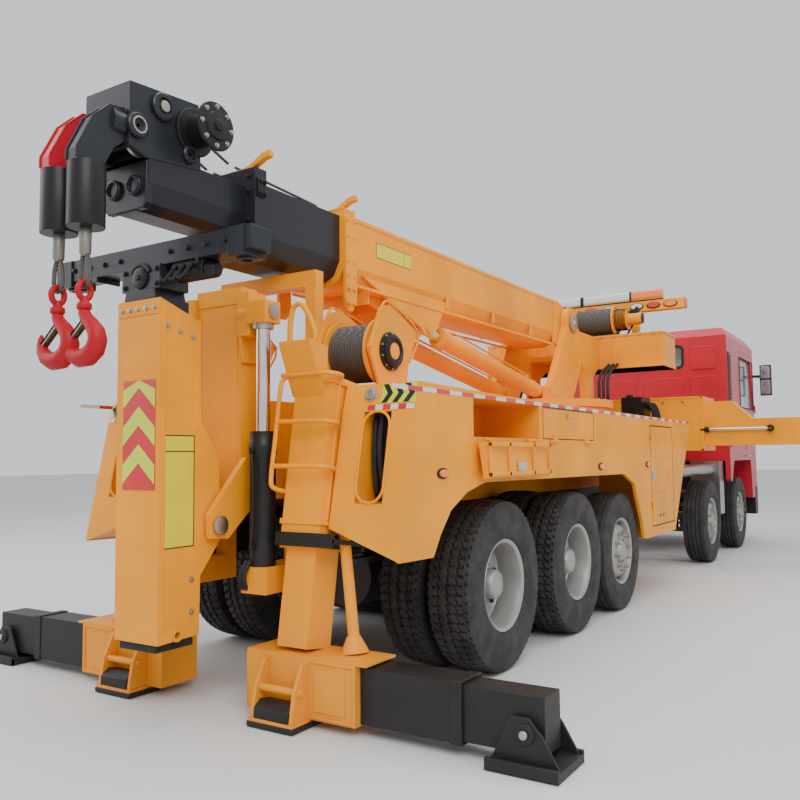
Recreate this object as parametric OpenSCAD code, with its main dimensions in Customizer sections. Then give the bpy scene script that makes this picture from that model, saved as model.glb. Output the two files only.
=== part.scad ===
// Five-axle rotating recovery truck with a folding underlift, jack legs and
// swing-head boom. Sizes are in millimetres. Every sub-part is drawn with
// x to the truck's right, y forward from the last axle and z up from the
// ground, and place() turns it into the shared frame (front towards -Y).

/* [Overall] */
// Width over the side bodies
body_w = 2500; // [2300:10:2600]
// Front bumper ahead of the last axle
front_f = 9760; // [9300:10:10200]
// Swing heads behind the last axle
tail_f = 2520; // [2450:10:2700]

/* [Axles] */
// First steered axle ahead of the last axle
axle_1_f = 8260; // [8100:10:8400]
// Second steered axle ahead of the last axle
axle_2_f = 6310; // [6200:10:6400]
// Single-tyre tag axle ahead of the last axle
axle_3_f = 2480; // [2460:10:2520]
// First drive axle ahead of the last axle
axle_4_f = 1350; // [1320:10:1360]
// Width between the centres of the steered tyres
steer_track = 2090; // [2060:10:2110]

/* [Tyres] */
// Outside diameter of the single tyres
single_d = 1056; // [1000:2:1070]
// Width of the single tyres
single_w = 300; // [270:5:310]
// Outside diameter of the twin drive tyres
twin_d = 1110; // [1050:2:1120]
// Width of one drive tyre
twin_w = 315; // [280:5:320]
// Centre distance of a pair of twin tyres
twin_gap = 350; // [340:5:360]
// Bead diameter of every rim
rim_d = 580; // [560:5:600]

/* [Frame] */
// Outside width of the frame rails
rail_w = 860; // [820:10:880]
// Height of the frame rails
rail_h = 270; // [250:10:290]
// Top of the frame rails
rail_top = 1050; // [1030:5:1060]

/* [Side bodies] */
// Top edge of the side bodies
body_top = 1770; // [1740:5:1780]
// Lowest edge of the side bodies
body_low = 590; // [560:5:640]
// Crown of the wheel arch
arch_top = 1236; // [1200:2:1260]
// Thickness of the locker doors
door_t = 30; // [24:1:36]
// Depth of the lockers
locker_deep = 460; // [420:10:475]
// Angle at which the first drop door hangs open
drop_angle = 172; // [168:1:174]

/* [Cab] */
// Width of the cab
cab_w = 2480; // [2400:10:2500]
// Rear wall of the cab ahead of the last axle
cab_rear_f = 7310; // [7250:10:7400]
// Roof of the cab
cab_top = 3220; // [3100:10:3300]
// Wall thickness of the cab
cab_t = 60; // [50:2:70]
// Thickness of the window glass
glass_t = 6; // [5:1:8]

/* [Turret] */
// Slewing axis ahead of the last axle
slew_f = 3520; // [3480:10:3560]
// Radius of the slewing table
table_r = 760; // [700:10:800]
// Width across the two turret posts
post_w = 720; // [700:10:760]
// Plate thickness of a turret post
post_t = 70; // [50:5:80]
// Boom pivot ahead of the last axle
pivot_f = 3540; // [3500:10:3580]
// Boom pivot height
pivot_z = 2830; // [2800:10:2860]
// Width of the light bar
bar_w = 2500; // [2300:10:2500]

/* [Boom] */
// Width of the boom's base section
boom_w = 540; // [500:10:560]
// Top of the base section
boom_top = 3050; // [3030:5:3070]
// Underside of the base section
boom_low = 2560; // [2540:5:2580]
// Plate thickness of the sections
boom_t = 14; // [10:1:18]
// Clearance between two sections
boom_gap = 6; // [6:0.5:9]
// Clearance at the sections' slide pads
pad_gap = 0.8; // [0.6:0.1:1]
// Mouth of the base section behind the last axle
base_mouth = 490; // [460:10:520]
// Mouth of the middle section behind the last axle
mid_mouth = 1380; // [1340:10:1400]

/* [Lift cylinders] */
// Distance of each lift cylinder from the middle
lift_r = 200; // [190:5:205]
// Base pin ahead of the last axle
lift_base_f = 2930; // [2900:10:2960]
// Base pin height
lift_base_z = 2050; // [2045:5:2060]
// Rod pin ahead of the last axle
lift_eye_f = 593; // [560:10:620]
// Rod pin height
lift_eye_z = 2410; // [2400:5:2420]
// Barrel diameter
lift_d = 150; // [130:5:160]

/* [Underlift] */
// Fold pin behind the last axle
fold_f = 1636; // [1620:2:1650]
// Fold pin height
fold_z = 1029; // [1010:2:1040]
// Width of the folded arm
arm_w = 336; // [320:4:340]
// Height of the mast slide
mast_top = 2400; // [2350:10:2420]
// Length of the crossbar
bar_len = 1540; // [1400:10:1600]

/* [Outriggers] */
// Lean of the rear legs from the vertical
leg_lean = 9; // [6:1:12]
// Side of a square rear leg
leg_s = 205; // [190:5:215]
// Distance of a rear leg from the middle
leg_r = 620; // [610:5:640]
// Reach of the rear outrigger's end from the middle
rear_reach = 2050; // [1950:10:2150]
// Reach of the front outrigger's end from the middle
front_reach = 3250; // [2900:10:3400]
// Rear face of the front outrigger beams
front_beam_f = 5750; // [5700:10:5800]

/* [Running fits] */
// Clearance of bearings, pins and guides
fit = 0.5; // [0.4:0.1:0.8]
// Clearance of doors and other moving pieces
gap = 6; // [5:0.5:8]

/* [Hidden] */
y0 = (front_f - tail_f) / 2;
hw = body_w / 2;
single_hub = single_d / 2;
twin_hub = twin_d / 2;
steer_r = steer_track / 2;
twin_out = 1040;
twin_in = twin_out - twin_gap;
rail_low = rail_top - rail_h;
post_in = post_w / 2 - post_t;
hinge_d = 22;
strap_t = 18;
skin_t = 30;
deck_hw = 769;
king_r = steer_r - 235;
boss = 70;
lift_ang = atan2(lift_eye_z - lift_base_z, -(lift_eye_f - lift_base_f));
lift_len = sqrt(pow(lift_eye_z - lift_base_z, 2) + pow(lift_eye_f - lift_base_f, 2));
$fn = 40;

yellow = [0.86, 0.60, 0.10];
red = [0.74, 0.10, 0.15];
dark = [0.17, 0.18, 0.20];
black = [0.05, 0.05, 0.06];
silver = [0.62, 0.62, 0.62];

// ---- helpers ----
module place() { translate([0, y0, 0]) rotate([0, 0, 180]) children(); }
module both() { children(); mirror([1, 0, 0]) children(); }
module to_left() { mirror([1, 0, 0]) children(); }
module bx(r0, r1, f0, f1, z0, z1) { translate([r0, f0, z0]) cube([r1 - r0, f1 - f0, z1 - z0]); }
module side(r0, r1, pts) { translate([r0, 0, 0]) rotate([90, 0, 90]) linear_extrude(r1 - r0) polygon(pts); }
module rearp(f0, f1, pts) { translate([0, f1, 0]) rotate([90, 0, 0]) linear_extrude(f1 - f0) polygon(pts); }
module plan(z0, z1, pts) { translate([0, 0, z0]) linear_extrude(z1 - z0) polygon(pts); }
module cr(r0, r1, f, z, rad) { translate([r0, f, z]) rotate([0, 90, 0]) cylinder(r = rad, h = r1 - r0); }
module cf(f0, f1, r, z, rad) { translate([r, f1, z]) rotate([90, 0, 0]) cylinder(r = rad, h = f1 - f0); }
module cz(z0, z1, r, f, rad) { translate([r, f, z0]) cylinder(r = rad, h = z1 - z0); }

// ---- frame, axles, engine ----
module chassis_frame() {
    color(black) {
        both() difference() {
            bx(rail_w / 2 - 80, rail_w / 2, -1080, 9300, rail_low, rail_top);
            bx(rail_w / 2 - 90, rail_w / 2 - 10, -1090, 9310, rail_low + 10, rail_top - 10);
        }
        for (f = [-900, -560, 680, 1900, 3300, 4700, 5500, 7000]) bx(-rail_w / 2 + 10, rail_w / 2 - 10, f, f + 80, rail_low + 30, rail_top - 30);
        bx(-rail_w / 2 + 10, rail_w / 2 - 10, 9220, 9300, rail_low, rail_top);
    }
}

module engine_block() {
    color(dark) {
        bx(-300, 300, 7500, 8800, 720, 1290);
        bx(-160, 160, 7110, 7501, 560, 960);
    }
}

module steer_axle(f) {
    bx(-king_r + 82, king_r - 82, f - 55, f + 55, single_hub - 150, single_hub - 40);
    both() {
        bx(king_r - 130, king_r - 80, f - 55, f + 55, single_hub - 150, single_hub + 60);
        bx(king_r - 130, king_r + 40, f - 55, f + 55, single_hub - 150, single_hub - 100);
        bx(king_r - 130, king_r + 40, f - 55, f + 55, single_hub + 60, single_hub + 100);
        bx(330, 420, f - 700, f + 700, single_hub + 90, single_hub + 130);
        bx(340, 410, f - 45, f + 45, single_hub - 50, single_hub + 100);
        cz(single_hub - 140, single_hub + 95, king_r, f, 25);
        for (s = [-1, 1]) bx(350, 400, f + s * 690 - 30, f + s * 690 + 30, single_hub + 100, rail_low);
    }
}

module drive_axle(f, hub) {
    cr(-780, 780, f, hub, 75);
    cf(f - 160, f + 160, 0, hub, 220);
    both() {
        cr(600, 780, f, hub, 190);
        cr(779, 925, f, hub, 58);
        bx(350, 420, f - 80, f + 80, hub, hub + 170);
    }
}

module axles() {
    color(dark) {
        steer_axle(axle_1_f);
        steer_axle(axle_2_f);
        cr(-880, 880, axle_3_f, single_hub, 70);
        both() {
            cr(870, steer_r - 66, axle_3_f, single_hub, 90);
            cr(870, steer_r + 40, axle_3_f, single_hub, 46);
            bx(345, 425, axle_3_f - 90, axle_3_f + 90, single_hub, rail_low);
        }
        drive_axle(axle_4_f, twin_hub);
        drive_axle(0, twin_hub);
        both() {
            bx(350, 420, -620, axle_4_f + 620, twin_hub + 150, twin_hub + 190);
            bx(350, 420, 560, 790, twin_hub + 160, rail_low);
        }
        cf(0, axle_4_f, 0, twin_hub + 30, 50);
        cf(axle_4_f, 7109.5, 0, twin_hub + 60, 50);
    }
}

module exhaust_system() {
    color(silver) {
        both() bx(760, 1150, 6990, 7260, 570, 1299);
        cf(5200, 7000, 1020, 1190, 75);
        bx(rail_w / 2, 1030, 5300, 5340, 1000, 1150);
        both() bx(rail_w / 2, 770, 7085, 7120, 850, 900);
    }
}

// ---- wheels ----
module tyre_ring(d, w, bead) {
    sh = (d - bead) / 2;
    rotate_extrude($fn = 64) translate([bead / 2, 0]) polygon([
        [0, -w / 2 + 26], [10, -w / 2 + 8], [sh * 0.3, -w / 2 + 2], [sh * 0.6, -w / 2], [sh - 34, -w / 2 + 10],
        [sh - 12, -w / 2 + 28], [sh, -w / 2 + 52], [sh, w / 2 - 52], [sh - 12, w / 2 - 28], [sh - 34, w / 2 - 10],
        [sh * 0.6, w / 2], [sh * 0.3, w / 2 - 2], [10, w / 2 - 8], [0, w / 2 - 26]]);
}

// outer face towards +z
module single_disc(w) {
    rotate_extrude($fn = 64) polygon([
        [rim_d / 2 + 1, -w / 2 + 24], [rim_d / 2 + 1, w / 2 - 24], [rim_d / 2 - 14, w / 2 - 20], [rim_d / 2 - 30, w / 2 - 40],
        [225, 60], [170, 78], [110, 84], [105, 140], [92, 150], [0, 150],
        [0, 60], [46 + fit, 60], [46 + fit, -60], [100, -60], [110, 50], [215, 30], [rim_d / 2 - 24, 0], [rim_d / 2 - 16, -w / 2 + 20]]);
}

module single_wheel(r, f) {
    translate([r, f, single_hub]) rotate([0, 90, 0]) {
        color(black) tyre_ring(single_d, single_w, rim_d);
        color(silver) single_disc(single_w);
        color(silver) for (a = [0:36:359]) rotate([0, 0, a]) translate([167, 0, 70]) cylinder(d = 30, h = 34);
    }
}

// outer face towards +z, origin midway between the twins
module twin_disc() {
    g = twin_gap / 2;
    w = twin_w;
    rotate_extrude($fn = 64) polygon([
        [rim_d / 2 + 1, g - w / 2 + 24], [rim_d / 2 + 1, g + w / 2 - 24], [rim_d / 2 - 14, g + w / 2 - 20],
        [rim_d / 2 - 30, g + w / 2 - 60], [rim_d / 2 - 40, 20], [225, 14], [130, 14], [130, 110], [110, 128], [0, 128],
        [0, 70], [58 + fit, 70], [58 + fit, -70], [130, -70], [130, -14], [225, -14], [rim_d / 2 - 40, -20],
        [rim_d / 2 - 30, -g - w / 2 + 60], [rim_d / 2 - 14, -g - w / 2 + 20], [rim_d / 2 + 1, -g - w / 2 + 24],
        [rim_d / 2 + 1, -g + w / 2 - 24], [rim_d / 2 - 8, -g + w / 2 - 30], [rim_d / 2 - 8, g - w / 2 + 30]]);
}

module twin_wheels(f) {
    translate([(twin_out + twin_in) / 2, f, twin_hub]) rotate([0, 90, 0]) {
        color(black) for (s = [-1, 1]) translate([0, 0, s * twin_gap / 2]) tyre_ring(twin_d, twin_w, rim_d);
        color(silver) twin_disc();
        color(silver) for (a = [0:36:359]) rotate([0, 0, a]) translate([167, 0, 10]) cylinder(d = 30, h = 36);
    }
}

// king pin block with its stub, right-hand side
module knuckle(f) {
    color(dark) {
        difference() {
            bx(king_r - 40, king_r + 60, f - 60, f + 60, single_hub - 100 + fit, single_hub + 60 - fit);
            cz(single_hub - 120, single_hub + 80, king_r, f, 25 + fit);
        }
        cr(king_r + 50, steer_r + 40, f, single_hub, 46);
        cr(king_r + 90, steer_r - 66, f, single_hub, 90);
        bx(king_r - 20, king_r + 30, f - 200, f - 50, single_hub - 40, single_hub - 10);
    }
}

// ---- side bodies with lockers ----
body_side = [[-1180, 1800], [-1225, 1643], [-1392, 855], [-1053, 849], [-972, 963], [-853, 1089], [-653, 1185], [-411, arch_top],
    [2369, arch_top - 12], [2670, 1124], [2897, 749], [2947, body_low + 10], [3051, body_low], [4102, body_low], [4921, body_top - 10], [3600, body_top], [0, body_top + 10]];
body_bulk = concat([for (i = [0:8]) body_side[i]], [[3080, arch_top - 12], [3080, body_low], [4102, body_low], [4921, body_top - 10], [3600, body_top], [0, body_top + 10]]);
drop_1 = [-560, 440];
drop_2 = [500, 1580];
drop_z = [1510, 1745];
tall_f = [3250, 4080];
tall_z = [644, 1688];

module body_right() {
    difference() {
        union() {
            // skin that passes outside the tyres, and the boxes behind it
            side(hw - skin_t, hw, body_side);
            side(deck_hw + 1, hw - skin_t + 1, body_bulk);
        }
        bx(hw - locker_deep, hw + 1, drop_1[0], drop_1[1], drop_z[0], drop_z[1]);
        bx(hw - locker_deep, hw + 1, drop_2[0], drop_2[1], drop_z[0], drop_z[1]);
        bx(hw - locker_deep, hw + 1, tall_f[0], tall_f[1], tall_z[0] + 40, tall_z[1]);
        // open slot beside the jack leg
        bx(920, 1100, -1500, -1130, 1147, 1643);
        // the corner's lower edge rises inwards
        rearp(-1500, -1000, [[deck_hw, 800], [hw - 20, 800], [hw - 20, 860], [deck_hw, 1010]]);
    }
    // hinge knuckles that stay with the body
    for (d = [drop_1, drop_2]) for (f = [d[0] + 120, d[1] - 180])
        cf(f, f + 60 - fit, hw + 12, drop_z[0] - 14, hinge_d / 2);
    for (d = [drop_1, drop_2]) for (f = [d[0] + 120, d[1] - 180]) bx(hw - 2, hw + 12, f, f + 60 - fit, drop_z[0] - 26, drop_z[0] - 8);
    for (z = [tall_z[0] + 160, tall_z[1] - 220]) {
        cz(z, z + 60 - fit, hw + 12, tall_f[0] - 14, hinge_d / 2);
        bx(hw - 2, hw + 12, tall_f[0] - 26, tall_f[0] - 8, z, z + 60 - fit);
    }
}

module side_bodies() { color(yellow) both() body_right(); }

// closed drop door, hinged along its lower edge, right-hand side
module drop_leaf(d) {
    bx(hw - door_t, hw, d[0] + gap, d[1] - gap, drop_z[0] + gap, drop_z[1] - gap);
    for (f = [d[0] + 180, d[1] - 240]) {
        cf(f, f + 60, hw + 12, drop_z[0] - 14, hinge_d / 2);
        bx(hw + 2, hw + 2 + strap_t, f, f + 60, drop_z[0] - 14, drop_z[0] + gap + 30);
        bx(hw - 2, hw + 3, f, f + 60, drop_z[0] + gap, drop_z[0] + gap + 30);
    }
    bx(hw - 2, hw + 14, (d[0] + d[1]) / 2 - 60, (d[0] + d[1]) / 2 + 60, drop_z[1] - 80, drop_z[1] - 40);
}

module drop_door_1_right() {
    color(yellow) translate([hw + 12, 0, drop_z[0] - 14]) rotate([0, drop_angle, 0]) translate([-hw - 12, 0, -drop_z[0] + 14]) drop_leaf(drop_1);
}

module drop_door_2_right() { color(yellow) drop_leaf(drop_2); }

module tall_door_right() {
    color(yellow) {
        bx(hw - door_t, hw, tall_f[0] + gap, tall_f[1] - gap, tall_z[0] + 40 + gap, tall_z[1] - gap);
        for (z = [tall_z[0] + 220, tall_z[1] - 160]) {
            cz(z, z + 60, hw + 12, tall_f[0] - 14, hinge_d / 2);
            bx(hw + 2, hw + 2 + strap_t, tall_f[0] - 14, tall_f[0] + gap + 30, z, z + 60);
            bx(hw - 2, hw + 3, tall_f[0] + gap, tall_f[0] + gap + 30, z, z + 60);
        }
        bx(hw - 2, hw + 14, tall_f[1] - 240, tall_f[1] - 180, 1120, 1230);
    }
}

// ---- deck, slewing ring and boom rest ----
module deck() {
    color(yellow) {
        bx(-deck_hw, deck_hw, -1015, 5060, 1690, 1740);
        bx(-deck_hw, deck_hw, -1015, -975, 1250, 1691);
        both() bx(rail_w / 2 - 70, rail_w / 2 + 10, -976, 5000, rail_top, 1695);
        for (f = [900, 2700, 4200]) bx(-rail_w / 2 + 10, rail_w / 2 - 10, f, f + 60, rail_top, 1691);
        bx(-deck_hw, deck_hw, 2640, 4400, 1400, 1691);
        cz(1735, 1895, 0, slew_f, table_r - 60);
        // boom rest frame
        both() bx(320, 400, -1000, -920, 1730, boom_low - gap);
        bx(-400, 400, -1000, -920, 2455, boom_low - gap);
    }
}

// ---- rear frame: leg housings, mast guides and their cross beam ----
module lean(f, z) { translate([0, f, z]) rotate([-leg_lean, 0, 0]) translate([0, -f, -z]) children(); }

module rear_frame() {
    color(yellow) {
        both() {
            // housing tube of the leg
            difference() {
                union() {
                    lean(-1390, 345) bx(leg_r - leg_s / 2 - 30, leg_r + leg_s / 2 + 30, -1390 - leg_s / 2 - 28, -1390 + leg_s / 2 + 28, 890, 1850);
                    bx(leg_r - 120, leg_r + 120, -1180, -1015.5, 1300, 1689);
                }
                lean(-1390, 345) bx(leg_r - leg_s / 2 - fit, leg_r + leg_s / 2 + fit, -1390 - leg_s / 2 - fit, -1390 + leg_s / 2 + fit, 860, 1890);
            }
            // mast guide channel
            difference() {
                bx(150, 232, -1270, -1015.5, 1150, 1738);
                bx(140, 185 + fit, -1250 - fit, -1150 + fit, 1140, 1900);
                bx(140, 151, -1300, -1149, 1140, 1900);
            }
            bx(225, 505, -1100, -1015.5, 1300, 1600);
            // lift cylinder of the mast with its foot
            difference() {
                union() {
                    bx(236, 420, -1470, -1255, 640, 790);
                    cz(700, 1545, 335, -1400, 72);
                }
                cz(890, 1700, 335, -1400, 40 + fit);
            }
            bx(236, 330, -1300, -1015.5, 640, 790);
            bx(236, 330, -1100, -1015.5, 780, 1310);
        }
        bx(-150, 150, -1060, -1015.5, 1200, 1738);
    }
}

module drag_winches() {
    color(yellow) both() {
        for (r = [[400, 420], [780, 800]]) side(r[0], r[1], [[-1000, 2040], [-870, 2300], [-760, 2330], [-450, 2190], [-560, 1990], [-600, 1801], [-880, 1801]]);
        bx(400, 800, -900, -560, 1801, 1821);
        bx(400, 760, -880, -600, 1740, 1802);
    }
    color(dark) both() {
        cr(419, 781, -777, 2035, 150);
        cr(440, 460, -777, 2035, 210);
        cr(740, 760, -777, 2035, 210);
        cr(799, 830, -777, 2035, 95);
    }
}

// ---- cab ----
cab_nose = front_f - 60;
cab_side = [[cab_rear_f, 1300], [cab_rear_f, cab_top - 120], [cab_rear_f + 110, cab_top], [cab_nose - 420, cab_top + 10], [cab_nose - 250, cab_top - 90],
    [cab_nose - 90, 2450], [cab_nose - 20, 1900], [cab_nose, 1300]];
door_cut = [[8180, 1360], [8180, 2960], [9290, 2960], [9480, 2300], [9480, 1900], [9480, 1360]];
hinge_z = [1560, 2060];
door_glass = [[8260, 2100], [8260, 2870], [9220, 2870], [9390, 2260], [9390, 2100]];

module inset_side(d) { polygon([for (p = cab_side) [p[0] + (p[0] < 8500 ? d : -d), p[1] + (p[1] > 2600 ? -d : (p[1] < 1301 ? d : 0))]]); }

module cab_outer() {
    intersection() {
        side(-cab_w / 2, cab_w / 2, cab_side);
        plan(1200, 3400, [[-cab_w / 2, cab_rear_f - 1], [cab_w / 2, cab_rear_f - 1], [cab_w / 2, cab_nose - 240], [cab_w / 2 - 180, cab_nose + 1], [-cab_w / 2 + 180, cab_nose + 1], [-cab_w / 2, cab_nose - 240]]);
        rearp(cab_rear_f - 10, cab_nose + 10, [[-cab_w / 2, 1200], [cab_w / 2, 1200], [cab_w / 2, cab_top - 130], [cab_w / 2 - 90, cab_top + 20], [-cab_w / 2 + 90, cab_top + 20], [-cab_w / 2, cab_top - 130]]);
    }
}

module cab_shell() {
    color(red) difference() {
        cab_outer();
        // hollow
        intersection() {
            translate([-cab_w / 2 + cab_t, 0, 0]) rotate([90, 0, 90]) linear_extrude(cab_w - 2 * cab_t) inset_side(cab_t);
            rearp(cab_rear_f, cab_nose, [[-cab_w / 2, 1200], [cab_w / 2, 1200], [cab_w / 2, cab_top - 190], [cab_w / 2 - 140, cab_top], [-cab_w / 2 + 140, cab_top], [-cab_w / 2, cab_top - 190]]);
        }
        // doors
        both() side(cab_w / 2 - cab_t - 5, cab_w / 2 + 10, door_cut);
        // windscreen
        rearp(cab_nose - 400, cab_nose + 40, [[-1080, 2050], [1080, 2050], [1020, 2960], [-1020, 2960]]);
        // rear window
        bx(-630, 630, cab_rear_f - 5, cab_rear_f + cab_t + 5, 2670, 2980);
        // front wheel arch
        cr(-cab_w, cab_w, axle_1_f, single_hub, 760);
    }
    color(red) both() for (z = hinge_z) {
        cz(z + 60 + fit, z + 120, cab_w / 2 + 8, 9474, 12);
        bx(cab_w / 2 - 30, cab_w / 2 + 8, 9480, 9500, z + 60 + fit, z + 120);
    }
    color(red) both() {
        // arch skirts below the floor, ahead of and behind the wheel
        side(cab_w / 2 - 70, cab_w / 2, [[cab_rear_f, 1310], [cab_rear_f, 1040], [7420, 1000], [7560, 1240], [7620, 1310]]);
        side(cab_w / 2 - 330, cab_w / 2 - 10, [[9010, 1310], [9060, 1100], [9100, 700], [9310, 700], [9310, 865], [9480, 865], [9555, 1310]]);
    }
}

module cab_glass() {
    color([0.4, 0.5, 0.5, 0.4]) {
        // windscreen follows the leaning front
        intersection() {
            side(-1100, 1100, [[cab_nose - 65, 2040], [cab_nose - 115, 2450], [cab_nose - 238, 2970], [cab_nose - 238 - glass_t, 2970], [cab_nose - 115 - glass_t, 2450], [cab_nose - 65 - glass_t, 2040]]);
            rearp(9000, 9700, [[-1080 + fit, 2050 + fit], [1080 - fit, 2050 + fit], [1020 - fit, 2960 - fit], [-1020 + fit, 2960 - fit]]);
        }
        bx(-630 + fit, 630 - fit, cab_rear_f + 24, cab_rear_f + 24 + glass_t, 2670 + fit, 2980 - fit);
    }
}

module cab_interior() {
    floor_z = 1300 + cab_t;
    color(dark) {
        both() {
            bx(380, 900, 8250, 8800, floor_z + 90, floor_z + 450);
            side(380, 900, [[8150, floor_z + 380], [8300, floor_z + 380], [8190, 2700], [8060, 2700]]);
            bx(520, 760, 8400, 8650, floor_z, floor_z + 100);
        }
        // bunk behind the seats
        bx(-cab_w / 2 + cab_t + fit, cab_w / 2 - cab_t - fit, cab_rear_f + cab_t + fit, 7980, 1760, 1890);
        // dashboard with the steering wheel on the left
        bx(-1100, 1100, 9400, 9590, 1760, 2030);
        bx(-200, 200, 9400, 9590, floor_z, 1770);
        translate([-640, 9230, 2040]) rotate([25, 0, 0]) rotate_extrude() translate([215, 0]) circle(r = 16, $fn = 16);
        translate([-640, 9230, 2040]) rotate([25, 0, 0]) { cylinder(r = 60, h = 20, center = true); cube([430, 30, 14], center = true); }
        translate([-640, 9230, 2040]) rotate([-65, 0, 0]) cylinder(r = 28, h = 260);
    }
}

module front_bumper() {
    color(dark) {
        plan(430, 860, [[-1230, 9320], [-1230, 9560], [-1050, front_f], [1050, front_f], [1230, 9560], [1230, 9320]]);
        bx(-rail_w / 2, rail_w / 2, 9300, 9330, rail_low, 860);
        bx(-1000, 1000, 9560, 9690, 850, 1299);
    }
}

module mirrors() {
    color(black) both() {
        bx(1330, 1500, 9560, 9660, 2350, 2850);
        bx(1300, 1340, 9445, 9620, 2640, 2680);
        bx(cab_w / 2 + fit, 1340, 9445, 9485, 2640, 2680);
    }
}

module cab_door_right() {
    color(red) for (z = hinge_z) {
        cz(z, z + 60, cab_w / 2 + 8, 9474, 12);
        bx(cab_w / 2 - 10, cab_w / 2 + 8, 9430, 9474, z, z + 60);
    }
    color(red) intersection() {
        difference() {
            side(cab_w / 2 - cab_t, cab_w / 2, [for (p = door_cut) [p[0] + (p[0] < 8200 ? gap : -gap), p[1] + (p[1] < 1400 ? gap : (p[1] > 2900 ? -gap : 0))]]);
            side(cab_w / 2 - cab_t - 10, cab_w / 2 + 10, door_glass);
            cr(0, cab_w, axle_1_f, single_hub, 766);
        }
        cab_outer();
    }
}

// ---- front outriggers ----
module outrigger_housing() {
    color(yellow) {
        both() {
            bx(rail_w / 2 - 80, rail_w / 2 + 20, 5560, 6340, rail_top, 1480);
        }
        // box in which both beams slide
        difference() {
            bx(-1240, 1240, 5690, 6330, 1440, 2120);
            bx(-1250, 1250, front_beam_f - fit, front_beam_f + 240 + fit, 1500 - fit, 2050 + fit);
            bx(-1250, 1250, front_beam_f + 280 - fit, front_beam_f + 520 + fit, 1500 - fit, 2050 + fit);
        }
    }
}

module front_beam(f) {
    color(yellow) difference() {
        rearp(f, f + 240, [[-150, 1500], [front_reach, 1500], [front_reach, 1825], [1790, 1825], [1560, 2050], [-150, 2050]]);
        translate([front_reach - 140, f + 120, 1490]) cylinder(d = 180 + 2 * fit, h = 400);
    }
}

module front_jack(f) {
    color(black) {
        cz(40, 1900, front_reach - 140, f + 120, 90);
        cz(0, 45, front_reach - 140, f + 120, 240);
    }
}

module hydraulic_unit() {
    color(black) {
        bx(520, 765, 4680, 5060, 1740, 2060);
    }
}

// ---- turret ----
module post() {
    difference() {
        union() {
            side(post_in, post_in + post_t, [[2880, 1960], [2880, 2080], [3200, 2500], [3400, pivot_z], [3680, pivot_z], [3760, 2770], [4500, 2770], [4500, 2480], [4180, 2300], [4200, 1960]]);
            cr(post_in, post_in + post_t, pivot_f, pivot_z, 170);
        }
        side(post_in - 1, post_in + post_t + 1, [[3480, 1950], [3940, 1950], [3880, 2350], [3825, 2430], [3770, 2350]]);
        cr(post_in - 1, post_in + post_t + 1, pivot_f, pivot_z, boss + fit);
    }
}

module turret() {
    color(yellow) {
        cz(1895 + fit, 1975, 0, slew_f, table_r);
        both() {
            post();
            // base lugs of the lift cylinders
            for (r = [lift_r - 100, lift_r + 78]) side(r, r + 22, [[2860, 1950], [2860, 2100], [3010, 2100], [3080, 1950]]);
            cr(lift_r - 100, lift_r + 100, lift_base_f, lift_base_z, 35);
            bx(620, 700, 4860, 4960, 2790, 3130);
        }
        // counterweight box
        bx(-1100, 1100, 4420, 4960, 2400, 2800);
        bx(-post_in - 1, post_in + 1, 3900, 4440, 2480, 2540);
        bx(-bar_w / 2, bar_w / 2, 4860, 4980, 3120, 3240);
        bx(-990, 990, 4880, 4960, 3238, 3370);
    }
}

module turret_winches() {
    color(black) both() {
        cr(90, 560, 4480, 2975, 110);
        for (r = [90, 540]) cr(r, r + 20, 4480, 2975, 174);
        cr(555, 700, 4480, 2975, 120);
        cr(699, 860, 4480, 2975, 70);
    }
}

// ---- boom ----
module section(w, top, low) {
    polygon([[-w, top], [w, top], [w, low + 140], [w * 0.8, low + 40], [w * 0.45, low], [-w * 0.45, low], [-w * 0.8, low + 40], [-w, low + 140]]);
}

module tube(f0, f1, w, top, low, t) {
    translate([0, f1, 0]) rotate([90, 0, 0]) linear_extrude(f1 - f0) difference() {
        section(w, top, low);
        section(w - t, top - t, low + t);
    }
}

base_hw = boom_w / 2;
mid_hw = base_hw - boom_t - boom_gap;
mid_top = boom_top - boom_t - boom_gap;
mid_low = boom_low + boom_t + boom_gap;
tip_hw = mid_hw - boom_t - 66;
tip_top = mid_top - boom_t - boom_gap;
tip_low = mid_low + boom_t + 106;

module collar(f0, f1, w, top, low, win, topin, lowin) {
    translate([0, f1, 0]) rotate([90, 0, 0]) linear_extrude(f1 - f0) difference() {
        section(w, top, low);
        section(win, topin, lowin);
    }
}

eye_in = 68;
function rod_bracket(top) = [[-300, top], [900, top], [720, 2400], [640, 2352], [540, 2352], [480, 2400]];

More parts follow.
